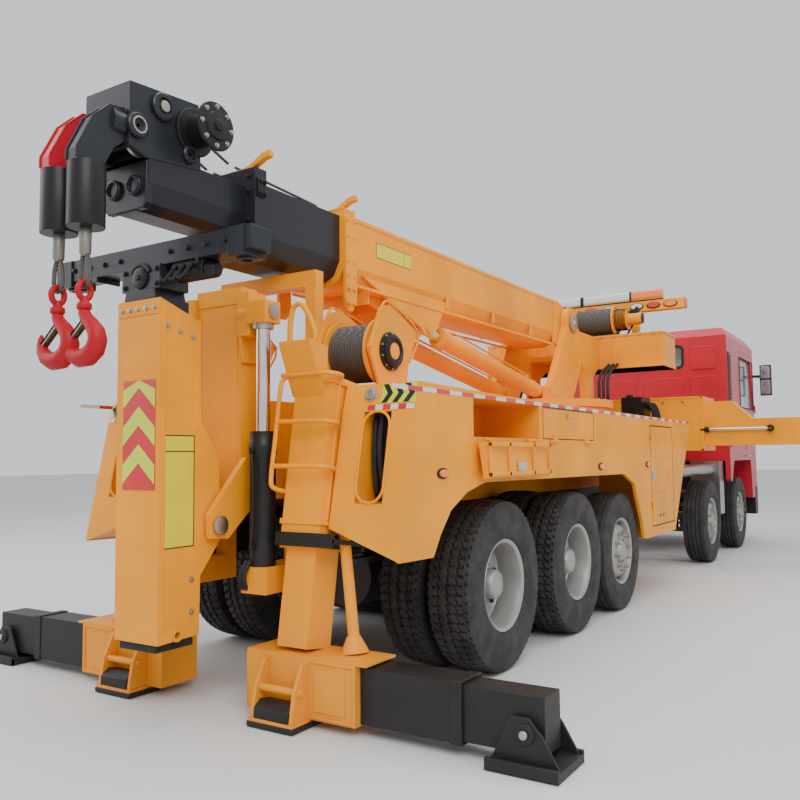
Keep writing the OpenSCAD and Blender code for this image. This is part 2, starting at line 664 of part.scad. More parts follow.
module boom_base() {
    color(yellow) {
        tube(-base_mouth, 3300, base_hw, boom_top, boom_low, boom_t);
        both() {
            side(base_hw - boom_t, base_hw + 14, [[3200, 2600], [3200, boom_top], [3330, boom_top], [3700, 2950], [3740, 2800], [3600, 2650], [3300, 2560]]);
            cr(base_hw - 2, post_in - fit, pivot_f, pivot_z, 130);
            cr(base_hw - 2, post_in + post_t + 12, pivot_f, pivot_z, boss);
        }
        bx(-base_hw, base_hw, 3290, 3320, 2600, boom_top);
        // mouth collar with its slide pads and hanging plates
        collar(-base_mouth - 60, -base_mouth + 60, base_hw + 25, boom_top + 25, boom_low - 15, mid_hw + pad_gap, mid_top + pad_gap, mid_low - pad_gap);
        both() side(base_hw + 10, base_hw + 34, [[-base_mouth - 60, 3000], [-base_mouth + 60, 3000], [-base_mouth + 70, 2460], [-base_mouth + 20, 2380], [-base_mouth - 30, 2380], [-base_mouth - 60, 2460]]);
        // bracket of the rod eyes, with the pins' heads
        both() {
            side(lift_r - eye_in, lift_r - eye_in + 24, rod_bracket(boom_low + 12));
            side(lift_r + eye_in - 24, lift_r + eye_in, rod_bracket(boom_low + 95));
            cr(lift_r - eye_in - 16, lift_r - eye_in + 2, lift_eye_f, lift_eye_z, 40);
            cr(lift_r + eye_in - 2, lift_r + eye_in + 16, lift_eye_f, lift_eye_z, 40);
        }
        for (f = [-200, 150]) bx(-lift_r - 40, lift_r + 40, f, f + 14, 2480, boom_low + 10);
    }
}

module boom_middle() {
    color(dark) {
        tube(-mid_mouth, 2300, mid_hw, mid_top, mid_low, boom_t);
        collar(-mid_mouth - 20, -mid_mouth + 80, mid_hw + 18, boom_top + 60, mid_low - 16, tip_hw + pad_gap, tip_top + pad_gap, tip_low - pad_gap);
    }
}

module boom_tip() {
    color(dark) {
        tube(-2100, 1900, tip_hw, tip_top, tip_low, boom_t);
        // head side plates
        both() side(150, 175, [[-2230, 3330], [-1760, 3370], [-1740, 3000], [-2120, 2960], [-2230, 3000]]);
        bx(-175, 175, -2230, -2205, 2990, 3330);
        bx(-151, 151, -2110, -1760, 2990, 3060);
        cr(-150, 150, -2040, 3220, 120);
        cr(-150, 150, -1850, 3200, 110);
        // swivel pins of the two heads
        for (r = [-head_r, head_r]) cf(-2330, -2229, r, 3106, 30);
    }
}

// ---- lift cylinders, drawn along -y from the base pin and then turned ----
module along_lift() { translate([0, lift_base_f, lift_base_z]) rotate([-lift_ang, 0, 0]) children(); }

module lift_cylinders() {
    color(yellow) both() along_lift() difference() {
        union() {
            translate([lift_r, -70, 0]) rotate([90, 0, 0]) cylinder(d = lift_d, h = lift_len - 330);
            cr(lift_r - 66, lift_r + 66, 0, 0, 62);
            translate([lift_r - 50, -100, -50]) cube([100, 100, 100]);
        }
        cr(lift_r - 80, lift_r + 80, 0, 0, 35 + fit);
        translate([lift_r, -150, 0]) rotate([90, 0, 0]) cylinder(r = 40 + fit, h = lift_len);
    }
}

module lift_rods() {
    color(silver) both() along_lift() {
        translate([lift_r, -200, 0]) rotate([90, 0, 0]) cylinder(r = 40, h = lift_len - 220);
        cr(lift_r - 36, lift_r + 36, -lift_len, 0, 52);
    }
}

// ---- swing heads with their weights and hooks ----
head_f = 2425;
head_r = 105;
module swing_head(r, paint) {
    color(paint) difference() {
        union() {
            side(r - 42, r + 42, [[-2236, 3181], [-2330, 3170], [-2420, 3080], [-2510, 2900], [-2510, 2840], [-2360, 2840], [-2300, 2960], [-2236, 3010]]);
            cf(-2300, -2236, r, 3106, 74);
        }
        cf(-2340, -2200, r, 3106, 30 + fit);
    }
    color(black) cz(2530, 2842, r, -head_f, 91);
}

// ---- underlift ----
module underlift_mast() {
    color(yellow) {
        bx(-180, 180, -1420, -1285, 1180, mast_top);
        both() {
            bx(100, 145, -1290, -1249, 1180, 1700);
            bx(100, 185, -1250, -1150, 1180, 1700);
            difference() {
                side(186, 226, [[-1285, 1400], [-1285, 1180], [-1560, 950], [-1690, 960], [-1700, 1090], [-1420, 1400]]);
                cr(180, 230, -fold_f, fold_z, 40 + fit);
            }
            bx(170, 190, -1400, -1290, 1200, 1390);
            cr(180, 400, -1400, 2230, 60);
        }
    }
    color(silver) both() cz(1240, 2240, 335, -1400, 40);
}

module underlift_arm() {
    color(yellow) difference() {
        union() {
            side(-arm_w / 2, arm_w / 2, [[-2010, 2245], [-1720, 2150], [-1715, 1600], [-1580, 1400], [-1560, 950], [-1715, 760], [-1720, 450], [-2005, 440]]);
            // pad feet under the arm's lower end
            bx(-arm_w / 2 + 30, arm_w / 2 - 30, -1990, -1740, 400, 445);
        }
        bx(-arm_w / 2 + 20, arm_w / 2 - 20, -1990, -1740, 600, 2050);
        cr(-300, 300, -1878, 473, 20);
    }
    color(silver) cr(-240, 240, -fold_f, fold_z, 40);
    // stage head with the crossbar's swivel pin
    color(dark) {
        rearp(-2000, -1800, [[-150, 2130], [150, 2130], [110, 2300], [-110, 2300]]);
        cz(2290, 2420, 0, -1900, 60);
    }
}

receiver_r = bar_len / 2 - 95;
module crossbar() {
    color(dark) difference() {
        union() {
            bx(-150, 150, -2000, -1800, 2300 + fit, 2430);
            bx(-bar_len / 2, bar_len / 2, -1975, -1825, 2429, boom_low - 10);
            // fork receivers near the two ends
            both() bx(receiver_r - 55, receiver_r + 55, -1985, -1815, 2400, boom_low - 10);
        }
        cz(2200, 2420 + fit, 0, -1900, 60 + fit);
        both() cz(2390, boom_low, receiver_r, -1900, 30);
    }
}

// ---- rear outriggers ----
module rear_leg_right() {
    color(yellow) {
        lean(-1390, 345) bx(leg_r - leg_s / 2, leg_r + leg_s / 2, -1390 - leg_s / 2, -1390 + leg_s / 2, 370, 1700);
        difference() {
            bx(340, 1060, -1525, -1255, 45, 350);
            bx(360, 1100, -1487 - fit, -1283 + fit, 58 - fit, 338 + fit);
        }
        bx(340, 1130, -1525, -1255, 350, 362);
        bx(465, 765, -1660, -1400, 0, 46);
    }
}

module rear_beam_right() {
    color(black) difference() {
        bx(830, 1640, -1487, -1283, 58, 338);
        bx(820, 1700, -1475 - fit, -1295 + fit, 70 - fit, 326 + fit);
    }
}

module rear_foot_right() {
    color(black) {
        bx(970, rear_reach, -1475, -1295, 70, 326);
        bx(1790, 2140, -1560, -1240, 0, 40);
        bx(1900, 2000, -1490, -1280, 30, 80);
    }
}

// ---- draw ----
place() chassis_frame();
place() engine_block();
place() axles();
place() exhaust_system();
place() side_bodies();
place() deck();
place() rear_frame();
place() drag_winches();
place() cab_shell();
place() cab_glass();
place() cab_interior();
place() front_bumper();
place() mirrors();
place() outrigger_housing();
place() hydraulic_unit();
place() cab_door_right();
place() to_left() cab_door_right();  // cab_door_left
place() drop_door_1_right();
place() color(yellow) to_left() drop_leaf(drop_1);  // drop_door_1_left
place() drop_door_2_right();
place() to_left() drop_door_2_right();  // drop_door_2_left
place() tall_door_right();
place() to_left() tall_door_right();  // tall_door_left
place() knuckle(axle_1_f);  // knuckle_1_right
place() to_left() knuckle(axle_1_f);  // knuckle_1_left
place() knuckle(axle_2_f);  // knuckle_2_right
place() to_left() knuckle(axle_2_f);  // knuckle_2_left
place() single_wheel(steer_r, axle_1_f);  // wheel_1_right
place() to_left() single_wheel(steer_r, axle_1_f);  // wheel_1_left
place() single_wheel(steer_r, axle_2_f);  // wheel_2_right
place() to_left() single_wheel(steer_r, axle_2_f);  // wheel_2_left
place() single_wheel(steer_r, axle_3_f);  // wheel_3_right
place() to_left() single_wheel(steer_r, axle_3_f);  // wheel_3_left
place() twin_wheels(axle_4_f);  // twin_wheels_4_right
place() to_left() twin_wheels(axle_4_f);  // twin_wheels_4_left
place() twin_wheels(0);  // twin_wheels_5_right
place() to_left() twin_wheels(0);  // twin_wheels_5_left
place() turret();
place() turret_winches();
place() boom_base();
place() boom_middle();
place() boom_tip();
place() lift_cylinders();
place() lift_rods();
place() swing_head(head_r, dark);  // swing_head_right
place() swing_head(-head_r, red);  // swing_head_left
place() underlift_mast();
place() underlift_arm();
place() crossbar();
place() rear_leg_right();
place() to_left() rear_leg_right();  // rear_leg_left
place() rear_beam_right();
place() to_left() rear_beam_right();  // rear_beam_left
place() rear_foot_right();
place() to_left() rear_foot_right();  // rear_foot_left
place() front_beam(front_beam_f);  // front_beam_right
place() to_left() front_beam(front_beam_f + 280);  // front_beam_left
place() front_jack(front_beam_f);  // front_jack_right
place() to_left() front_jack(front_beam_f + 280);  // front_jack_left
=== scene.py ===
"""Looks of a five-axle rotating recovery truck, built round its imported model.

Every piece is drawn in the truck's own metres: r to its right, f ahead of the
last axle and z above the ground. Datum turns these into the shared frame.
"""

import logging
import math
from dataclasses import dataclass, field
from enum import Enum
from typing import Iterable, Sequence

import bmesh
import bpy
from mathutils import Matrix, Quaternion, Vector


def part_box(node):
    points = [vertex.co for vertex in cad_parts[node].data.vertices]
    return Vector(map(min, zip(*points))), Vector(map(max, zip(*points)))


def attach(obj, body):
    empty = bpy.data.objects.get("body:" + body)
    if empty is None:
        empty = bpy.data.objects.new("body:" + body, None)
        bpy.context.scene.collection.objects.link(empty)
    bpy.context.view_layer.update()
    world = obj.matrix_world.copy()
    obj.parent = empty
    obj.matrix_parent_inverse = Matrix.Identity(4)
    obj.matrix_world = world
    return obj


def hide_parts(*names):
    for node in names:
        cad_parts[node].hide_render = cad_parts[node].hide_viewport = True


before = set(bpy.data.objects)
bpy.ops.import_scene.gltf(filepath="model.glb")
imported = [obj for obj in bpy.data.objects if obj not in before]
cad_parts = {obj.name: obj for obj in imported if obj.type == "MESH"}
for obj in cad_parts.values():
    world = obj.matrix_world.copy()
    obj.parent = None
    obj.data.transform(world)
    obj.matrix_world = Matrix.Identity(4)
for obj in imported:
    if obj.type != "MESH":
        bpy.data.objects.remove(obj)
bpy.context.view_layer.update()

LOG = logging.getLogger("recovery_truck")
Point = tuple[float, float, float]
Flat = tuple[float, float]
Spot = tuple[Point, Point]
Socket = bpy.types.NodeSocket
Material = bpy.types.Material
SIDES: dict[str, int] = {"right": 1, "left": -1}
TRUCK = "truck"
TAU = math.tau
RIGHT, AHEAD, BACK, UP, DOWN = (1, 0, 0), (0, 1, 0), (0, -1, 0), (0, 0, 1), (0, 0, -1)


class Datum:
    """Where the truck's own axes lie in the shared frame."""

    low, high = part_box("twin_wheels_5_right")
    axle_y: float = (low.y + high.y) / 2

    @classmethod
    def point(cls, r: float, f: float, z: float) -> Vector:
        """Turns right, forward and up into the shared frame."""
        return Vector((-r, cls.axle_y - f, z))

    @classmethod
    def extent(cls, node: str) -> Spot:
        """Gives a node's lowest and highest (r, f, z).

        Args:
            node: name of a CAD node.

        Returns:
            Its lowest and highest corner in the truck's own axes.
        """
        low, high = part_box(node)
        return (-high.x, cls.axle_y - high.y, low.z), (-low.x, cls.axle_y - low.y, high.z)


# --- finishes
class NodeTree:
    """Thin wrapper that adds and links shader nodes."""

    def __init__(self, name: str) -> None:
        """Makes an empty node material called name."""
        self.material = bpy.data.materials.new(name)
        self.material.use_nodes = True
        self.tree = self.material.node_tree
        self.tree.nodes.clear()
        self.output = self.add("ShaderNodeOutputMaterial")
        self.shader = self.add("ShaderNodeBsdfPrincipled")
        self.link(self.shader.outputs["BSDF"], self.output.inputs["Surface"])
        self.place = self.add("ShaderNodeTexCoord").outputs["Object"]

    def add(self, kind: str, **settings: object) -> bpy.types.Node:
        """Adds a node and sets its properties."""
        node = self.tree.nodes.new(kind)
        for key, value in settings.items():
            setattr(node, key, value)
        return node

    def link(self, source: Socket, target: Socket) -> None:
        """Joins two sockets."""
        self.tree.links.new(source, target)

    def feed(self, source: Socket, name: str) -> None:
        """Joins a socket to one of the shader's own, by its name."""
        self.link(source, self.shader.inputs[name])

    def noise(self, scale: float, detail: float = 4.0, rough: float = 0.55) -> Socket:
        """Adds a noise on object coordinates.

        Args:
            scale: features per metre.
            detail: octaves.
            rough: weight of the finer octaves.

        Returns:
            The noise's value socket.
        """
        node = self.add("ShaderNodeTexNoise")
        node.inputs["Scale"].default_value = scale
        node.inputs["Detail"].default_value = detail
        node.inputs["Roughness"].default_value = rough
        self.link(self.place, node.inputs["Vector"])
        return node.outputs["Fac"]

    def ramp(self, value: Socket, stops: Sequence[tuple[float, tuple]]) -> Socket:
        """Maps a value through a colour ramp.

        Args:
            value: socket to map.
            stops: pairs of position and RGBA or grey level.

        Returns:
            The ramp's colour socket.
        """
        node = self.add("ShaderNodeValToRGB")
        elements = node.color_ramp.elements
        while len(elements) < len(stops):
            elements.new(0.5)
        for element, (place, colour) in zip(elements, stops):
            element.position = place
            element.color = colour if len(colour) == 4 else (*colour, 1.0)
        self.link(value, node.inputs["Fac"])
        return node.outputs["Color"]

    def math(self, kind: str, a: object, b: object = 0.0) -> Socket:
        """Adds a math node whose inputs are sockets or numbers.

        Args:
            kind: operation.
            a: first socket or number.
            b: second one.

        Returns:
            The result's socket.
        """
        node = self.add("ShaderNodeMath", operation=kind)
        for slot, value in zip(node.inputs, (a, b)):
            if isinstance(value, Socket):
                self.link(value, slot)
            else:
                slot.default_value = float(value)
        return node.outputs[0]

    def mix(self, amount: object, a: object, b: object) -> Socket:
        """Mixes two colours, each a socket or an RGB triple.

        Args:
            amount: share of b, a socket or number.
            a: first colour.
            b: second colour.

        Returns:
            The mixed colour's socket.
        """
        node = self.add("ShaderNodeMix", data_type="RGBA")
        for place, value in ((0, amount), (6, a), (7, b)):
            slot = node.inputs[place]
            if isinstance(value, Socket):
                self.link(value, slot)
            else:
                slot.default_value = float(value) if place == 0 else (*value, 1.0)
        return node.outputs[2]

    def bump(self, height: Socket, strength: float, distance: float, base: object = None) -> None:
        """Adds a bump, on top of a rounded-edge normal where base is given.

        Args:
            height: socket to raise by.
            strength: 0 to 1.
            distance: height in metres.
            base: normal to start from.
        """
        node = self.add("ShaderNodeBump")
        node.inputs["Strength"].default_value = strength
        node.inputs["Distance"].default_value = distance
        self.link(height, node.inputs["Height"])
        if base is not None:
            self.link(base, node.inputs["Normal"])
        self.link(node.outputs["Normal"], self.shader.inputs["Normal"])

    def height(self) -> Socket:
        """Gives the height above the ground, in metres."""
        split = self.add("ShaderNodeSeparateXYZ")
        self.link(self.place, split.inputs[0])
        return split.outputs["Z"]

    def set(self, **values: float) -> None:
        """Sets constants on the shader's own sockets."""
        for key, value in values.items():
            self.shader.inputs[key.replace("_", " ")].default_value = value


@dataclass(frozen=True)
class Paint:
    """Sprayed enamel with faint orange peel, road dust low down and softly rounded edges."""

    name: str
    colour: Point
    roughness: float = 0.3
    coat: float = 0.5
    dust: float = 0.35
    edge: float = 0.004
    dust_colour: Point = (0.23, 0.2, 0.16)
    specular: float = 0.4

    def material(self) -> Material:
        """Builds the enamel."""
        nodes = NodeTree(self.name)
        tone = nodes.noise(1.7, 5.0)
        dark = tuple(c * 0.84 for c in self.colour)
        light = tuple(min(1.0, c * 1.08) for c in self.colour)
        paint = nodes.mix(nodes.ramp(tone, ((0.3, (0, 0, 0)), (0.7, (1, 1, 1)))), dark, light)
        low = nodes.math("MULTIPLY", nodes.math("SUBTRACT", 1.5, nodes.height()), 0.5)
        grime = nodes.math("MULTIPLY", nodes.math("MAXIMUM", low, 0.06), nodes.noise(6.0, 9.0, 0.65))
        grime = nodes.math("MINIMUM", nodes.math("MULTIPLY", grime, self.dust * 1.8), 0.75)
        nodes.feed(nodes.mix(grime, paint, self.dust_colour), "Base Color")
        rough = nodes.math("ADD", nodes.math("MULTIPLY", grime, 0.5), self.roughness)
        nodes.feed(rough, "Roughness")
        nodes.set(Coat_Weight=self.coat, Coat_Roughness=0.12, Specular_IOR_Level=self.specular)
        round_edge = nodes.add("ShaderNodeBevel", samples=4)
        round_edge.inputs["Radius"].default_value = self.edge
        nodes.bump(nodes.noise(140.0, 2.0), 0.05, 0.001, round_edge.outputs["Normal"])
        return nodes.material


@dataclass(frozen=True)
class Metal:
    """Bare or plated metal."""

    name: str
    colour: Point
    roughness: float = 0.3
    grain: float = 60.0
    metallic: float = 1.0

    def material(self) -> Material:
        """Builds the metal, with fine streaks and dull patches."""
        nodes = NodeTree(self.name)
        patch = nodes.noise(9.0, 6.0)
        dull = tuple(c * 0.7 for c in self.colour)
        nodes.feed(nodes.mix(patch, dull, self.colour), "Base Color")
        rough = nodes.math("ADD", nodes.math("MULTIPLY", patch, 0.25), self.roughness - 0.1)
        nodes.feed(rough, "Roughness")
        nodes.set(Metallic=self.metallic)
        nodes.bump(nodes.noise(self.grain, 4.0), 0.12, 0.001)
        return nodes.material


@dataclass(frozen=True)
class Rubber:
    """Tyre and hose rubber, dusty grey on top."""

    name: str
    colour: Point = (0.022, 0.022, 0.024)
    dust: Point = (0.11, 0.1, 0.09)
    amount: float = 0.5

    def material(self) -> Material:
        """Builds the rubber."""
        nodes = NodeTree(self.name)
        patch = nodes.ramp(nodes.noise(7.0, 8.0, 0.7), ((0.42, (0, 0, 0)), (0.75, (1, 1, 1))))
        amount = nodes.math("MULTIPLY", patch, self.amount)
        nodes.feed(nodes.mix(amount, self.colour, self.dust), "Base Color")
        nodes.set(Roughness=0.72, Specular_IOR_Level=0.35)
        nodes.bump(nodes.noise(260.0, 3.0), 0.25, 0.0008)
        return nodes.material


@dataclass(frozen=True)
class Lens:
    """Moulded lamp lens with fine flutes."""

    name: str
    colour: Point
    glow: float = 0.15

    def material(self) -> Material:
        """Builds the lens."""
        nodes = NodeTree(self.name)
        flute = nodes.add("ShaderNodeTexWave", wave_type="BANDS")
        flute.inputs["Scale"].default_value = 30.0
        nodes.link(nodes.place, flute.inputs["Vector"])
        shade = tuple(c * 0.7 for c in self.colour)
        tone = nodes.mix(flute.outputs["Fac"], shade, self.colour)
        nodes.feed(tone, "Base Color")
        nodes.set(Roughness=0.14, Coat_Weight=0.6, Emission_Strength=self.glow)
        nodes.shader.inputs["Emission Color"].default_value = (*self.colour, 1.0)
        nodes.bump(flute.outputs["Fac"], 0.3, 0.002)
        return nodes.material


@dataclass(frozen=True)
class Glazing:
    """Tinted window glass."""

    name: str
    colour: Point

    def material(self) -> Material:
        """Builds the glass."""
        nodes = NodeTree(self.name)
        nodes.shader.inputs["Base Color"].default_value = (*self.colour, 1.0)
        smear = nodes.math("MULTIPLY", nodes.noise(3.0, 6.0), 0.08)
        nodes.feed(smear, "Roughness")
        nodes.set(Transmission_Weight=0.85, IOR=1.45, Alpha=0.75)
        return nodes.material


@dataclass(frozen=True)
class Rope:
    """Laid steel wire rope, its strands drawn by a wave along the lay."""

    name: str
    colour: Point = (0.16, 0.15, 0.14)

    def material(self) -> Material:
        """Builds the rope."""
        nodes = NodeTree(self.name)
        lay = nodes.add("ShaderNodeTexWave", wave_type="BANDS", bands_direction="DIAGONAL")
        lay.inputs["Scale"].default_value = 42.0
        lay.inputs["Distortion"].default_value = 0.6
        nodes.link(nodes.place, lay.inputs["Vector"])
        dark = tuple(c * 0.3 for c in self.colour)
        nodes.feed(nodes.mix(lay.outputs["Fac"], dark, self.colour), "Base Color")
        nodes.set(Metallic=0.6, Roughness=0.5)
        nodes.bump(lay.outputs["Fac"], 0.8, 0.003)
        return nodes.material


class Finish(Enum):
    """Every finish on the truck."""

    YELLOW = Paint("yellow_enamel", (0.92, 0.335, 0.0), 0.42, 0.05, 0.2, specular=0.18)
    RED = Paint("cab_red_enamel", (0.5, 0.014, 0.03), 0.34, 0.15, 0.15, specular=0.3)
    HOOK = Paint("hook_red", (0.4, 0.006, 0.014), 0.5, 0.05, 0.1, 0.003, specular=0.2)
    GREY = Paint("boom_grey_enamel", (0.014, 0.016, 0.022), 0.36, 0.08, 0.15, specular=0.3)
    BLACK = Paint("chassis_black", (0.008, 0.008, 0.009), 0.42, 0.05, 0.3, 0.004, (0.06, 0.055, 0.05), 0.3)
    TRIM = Paint("cab_trim", (0.04, 0.04, 0.045), 0.6, 0.0, 0.1)
    CAST = Metal("cast_iron", (0.045, 0.045, 0.05), 0.6, 40.0, 0.4)
    RIM = Metal("rim_silver", (0.42, 0.41, 0.39), 0.42, 30.0, 0.55)
    STEEL = Metal("heat_shield_steel", (0.5, 0.5, 0.5), 0.34, 20.0)
    CHROME = Metal("chromed_rod", (0.82, 0.82, 0.84), 0.14, 8.0)
    ZINC = Metal("zinc_bolts", (0.5, 0.48, 0.42), 0.4, 90.0)
    SWAGE = Metal("swaged_sleeve", (0.3, 0.29, 0.25), 0.5, 120.0)
    TYRE = Rubber("tyre_rubber")
    HOSE = Rubber("hose_rubber", (0.015, 0.015, 0.016), (0.06, 0.06, 0.055), 0.3)
    AMBER = Lens("amber_lens", (0.85, 0.2, 0.02), 0.25)
    RUBY = Lens("red_lens", (0.6, 0.01, 0.02))
    CLEAR = Lens("clear_lens", (0.75, 0.76, 0.76), 0.05)
    GLASS = Glazing("tinted_glass", (0.55, 0.66, 0.66))
    ROPE = Rope("wire_rope")
    TAPE_RED = Paint("tape_red", (0.62, 0.02, 0.03), 0.3, 0.2, 0.05, 0.0008)
    TAPE_WHITE = Paint("tape_white", (0.7, 0.69, 0.66), 0.3, 0.2, 0.05, 0.0008)
    TAPE_LIME = Paint("tape_lime", (0.62, 0.72, 0.03), 0.3, 0.2, 0.05, 0.0008)
    TAPE_BLACK = Paint("tape_black", (0.02, 0.02, 0.02), 0.3, 0.2, 0.05, 0.0008)
    LABEL = Paint("label_yellow", (0.72, 0.62, 0.02), 0.35, 0.1, 0.05, 0.0008)

    @property
    def material(self) -> Material:
        """Gives the finish's material, made the first time it is asked for."""
        made = bpy.data.materials.get(self.value.name)
        return made or self.value.material()


def link_in(item: bpy.types.Object) -> None:
    """Puts an object into the scene."""
    bpy.context.scene.collection.objects.link(item)


# --- shapes
class Shape:
    """Closed solids collected into one mesh, in right, forward and up metres."""

    def __init__(self) -> None:
        """Starts an empty shape."""
        self.bm = bmesh.new()

    def prism(self, outline: Sequence[Point], along: Point) -> "Shape":
        """Adds a flat outline pushed along a vector.

        Args:
            outline: corners as (r, f, z).
            along: push as (r, f, z).

        Returns:
            The shape itself.
        """
        push = Vector(along)
        near = [self.bm.verts.new(Vector(p)) for p in outline]
        far = [self.bm.verts.new(v.co + push) for v in near]
        count = len(near)
        self.bm.faces.new(near)
        self.bm.faces.new(far[::-1])
        for i in range(count):
            j = (i + 1) % count
            self.bm.faces.new((near[j], near[i], far[i], far[j]))
        return self

    def box(self, r0: float, r1: float, f0: float, f1: float, z0: float, z1: float) -> "Shape":
        """Adds an upright box."""
        return self.side(r0, r1, ((f0, z0), (f1, z0), (f1, z1), (f0, z1)))

    def side(self, r0: float, r1: float, outline: Iterable[Flat]) -> "Shape":
        """Adds a (f, z) outline between two distances to the right."""
        return self.prism([(r0, f, z) for f, z in outline], (r1 - r0, 0, 0))

    def rear(self, f0: float, f1: float, outline: Iterable[Flat]) -> "Shape":
        """Adds an (r, z) outline between two distances forward."""
        return self.prism([(r, f0, z) for r, z in outline], (0, f1 - f0, 0))

    def plan(self, z0: float, z1: float, outline: Iterable[Flat]) -> "Shape":
        """Adds an (r, f) outline between two heights."""
        return self.prism([(r, f, z0) for r, f in outline], (0, 0, z1 - z0))

    def lathe(self, centre: Point, axis: Point, profile: Sequence[Flat], steps: int = 32) -> "Shape":
        """Turns a closed (radius, along) profile round an axis.

        Args:
            centre: origin of the axis.
            axis: its direction.
            profile: corners, where a radius of 0 closes on the axis.
            steps: segments round.

        Returns:
            The shape itself.
        """
        middle, line = Vector(centre), Vector(axis).normalized()
        across = line.orthogonal().normalized()
        other = line.cross(across)
        rings = []
        for radius, along in profile:
            hub = middle + line * along
            if radius < 1e-6:
                rings.append([self.bm.verts.new(hub)])
                continue
            turns = (TAU * k / steps for k in range(steps))
            rings.append([self.bm.verts.new(hub + (across * math.cos(t) + other * math.sin(t)) * radius)
                for t in turns])
        closed = len(rings[0]) > 1 and len(rings[-1]) > 1
        pairs = list(zip(rings, rings[1:])) + ([(rings[-1], rings[0])] if closed else [])
        for low, high in pairs:
            for k in range(steps):
                n = (k + 1) % steps
                if len(low) == 1 and len(high) == 1:
                    continue
                if len(low) == 1:
                    self.bm.faces.new((low[0], high[n], high[k]))
                elif len(high) == 1:
                    self.bm.faces.new((low[k], low[n], high[0]))
                else:
                    self.bm.faces.new((low[k], low[n], high[n], high[k]))
        return self

    def rod(self, a: Point, b: Point, radius: float, steps: int = 24, end: float = 0.0) -> "Shape":
        """Adds a round bar with softened ends, tapering to end where that is given.

        Args:
            a: middle of its first end.
            b: middle of its last end.
            radius: its radius.
            steps: segments round.
            end: radius at b, 0 for the same.

        Returns:
            The shape itself.
        """
        line = Vector(b) - Vector(a)
        tip = end or radius
        soft = min(radius, line.length) * 0.12
        outline = ((0, 0), (radius - soft, 0), (radius, soft), (tip, line.length - soft),
            (tip - soft, line.length))
        return self.lathe(a, tuple(line), (*outline, (0, line.length)), steps)

    def sweep(self, path: Sequence[Point], radius: float | Sequence[float], steps: int = 12,
            loop: bool = False) -> "Shape":
        """Adds a tube along a path.

        Args:
            path: points that the tube follows.
            radius: one radius, or one for each point.
            steps: segments round.
            loop: joins the last point to the first.

        Returns:
            The shape itself.
        """
        points = [Vector(p) for p in path]
        count = len(points)
        radii = [radius] * count if isinstance(radius, (int, float)) else list(radius)
        heading = []
        for i in range(count):
            before = points[i - 1] if loop or i else points[0]
            after = points[(i + 1) % count] if loop or i < count - 1 else points[-1]
            heading.append((after - before).normalized())
        up = heading[0].orthogonal().normalized()
        rings = []
        for i, point in enumerate(points):
            if i:
                up = (heading[i - 1].rotation_difference(heading[i]) @ up).normalized()
            other = heading[i].cross(up)
            turns = (TAU * k / steps for k in range(steps))
            rings.append([self.bm.verts.new(point + (up * math.cos(t) + other * math.sin(t)) * radii[i])
                for t in turns])
        for i in range(count if loop else count - 1):
            low, high = rings[i], rings[(i + 1) % count]
            for k in range(steps):
                n = (k + 1) % steps
                self.bm.faces.new((low[k], low[n], high[n], high[k]))
        if not loop:
            self.bm.faces.new(rings[0][::-1])
            self.bm.faces.new(rings[-1])
        return self

    def hose(self, path: Sequence[Point], radius: float, cuts: int = 5) -> "Shape":
        """Adds a round bar or hose whose path is smoothed."""
        return self.sweep(smoothed(path, cuts), radius, 12)

    def turned(self, pivot: Point, axis: Point, degrees: float) -> "Shape":
        """Turns everything so far about a line through pivot."""
        spin = Quaternion(Vector(axis).normalized(), math.radians(degrees)).to_matrix()
        bmesh.ops.rotate(self.bm, cent=Vector(pivot), matrix=spin, verts=self.bm.verts[:])
        return self

    def mirrored(self) -> "Shape":
        """Adds the same solids on the truck's other side."""
        twin = bmesh.ops.duplicate(self.bm, geom=self.bm.verts[:] + self.bm.edges[:] + self.bm.faces[:])
        for vert in (v for v in twin["geom"] if isinstance(v, bmesh.types.BMVert)):
            vert.co.x = -vert.co.x
        return self

    def flipped(self, q: int) -> "Shape":
        """Moves everything so far to the side q, 1 for right and -1 for left."""
        if q < 0:
            for vert in self.bm.verts:
                vert.co.x = -vert.co.x
        return self

    def mesh(self, name: str, smooth: float = 38.0) -> bpy.types.Mesh:
        """Places the shape in the shared frame and makes it a mesh.

        Args:
            name: the mesh's name.
            smooth: largest angle shaded smooth, in degrees.

        Returns:
            The mesh, with its faces outwards.
        """
        for vert in self.bm.verts:
            vert.co = Datum.point(*vert.co)
        bmesh.ops.recalc_face_normals(self.bm, faces=self.bm.faces[:])
        made = bpy.data.meshes.new(name)
        self.bm.to_mesh(made)
        self.bm.free()
        made.shade_smooth()
        made.set_sharp_from_angle(angle=math.radians(smooth))
        return made


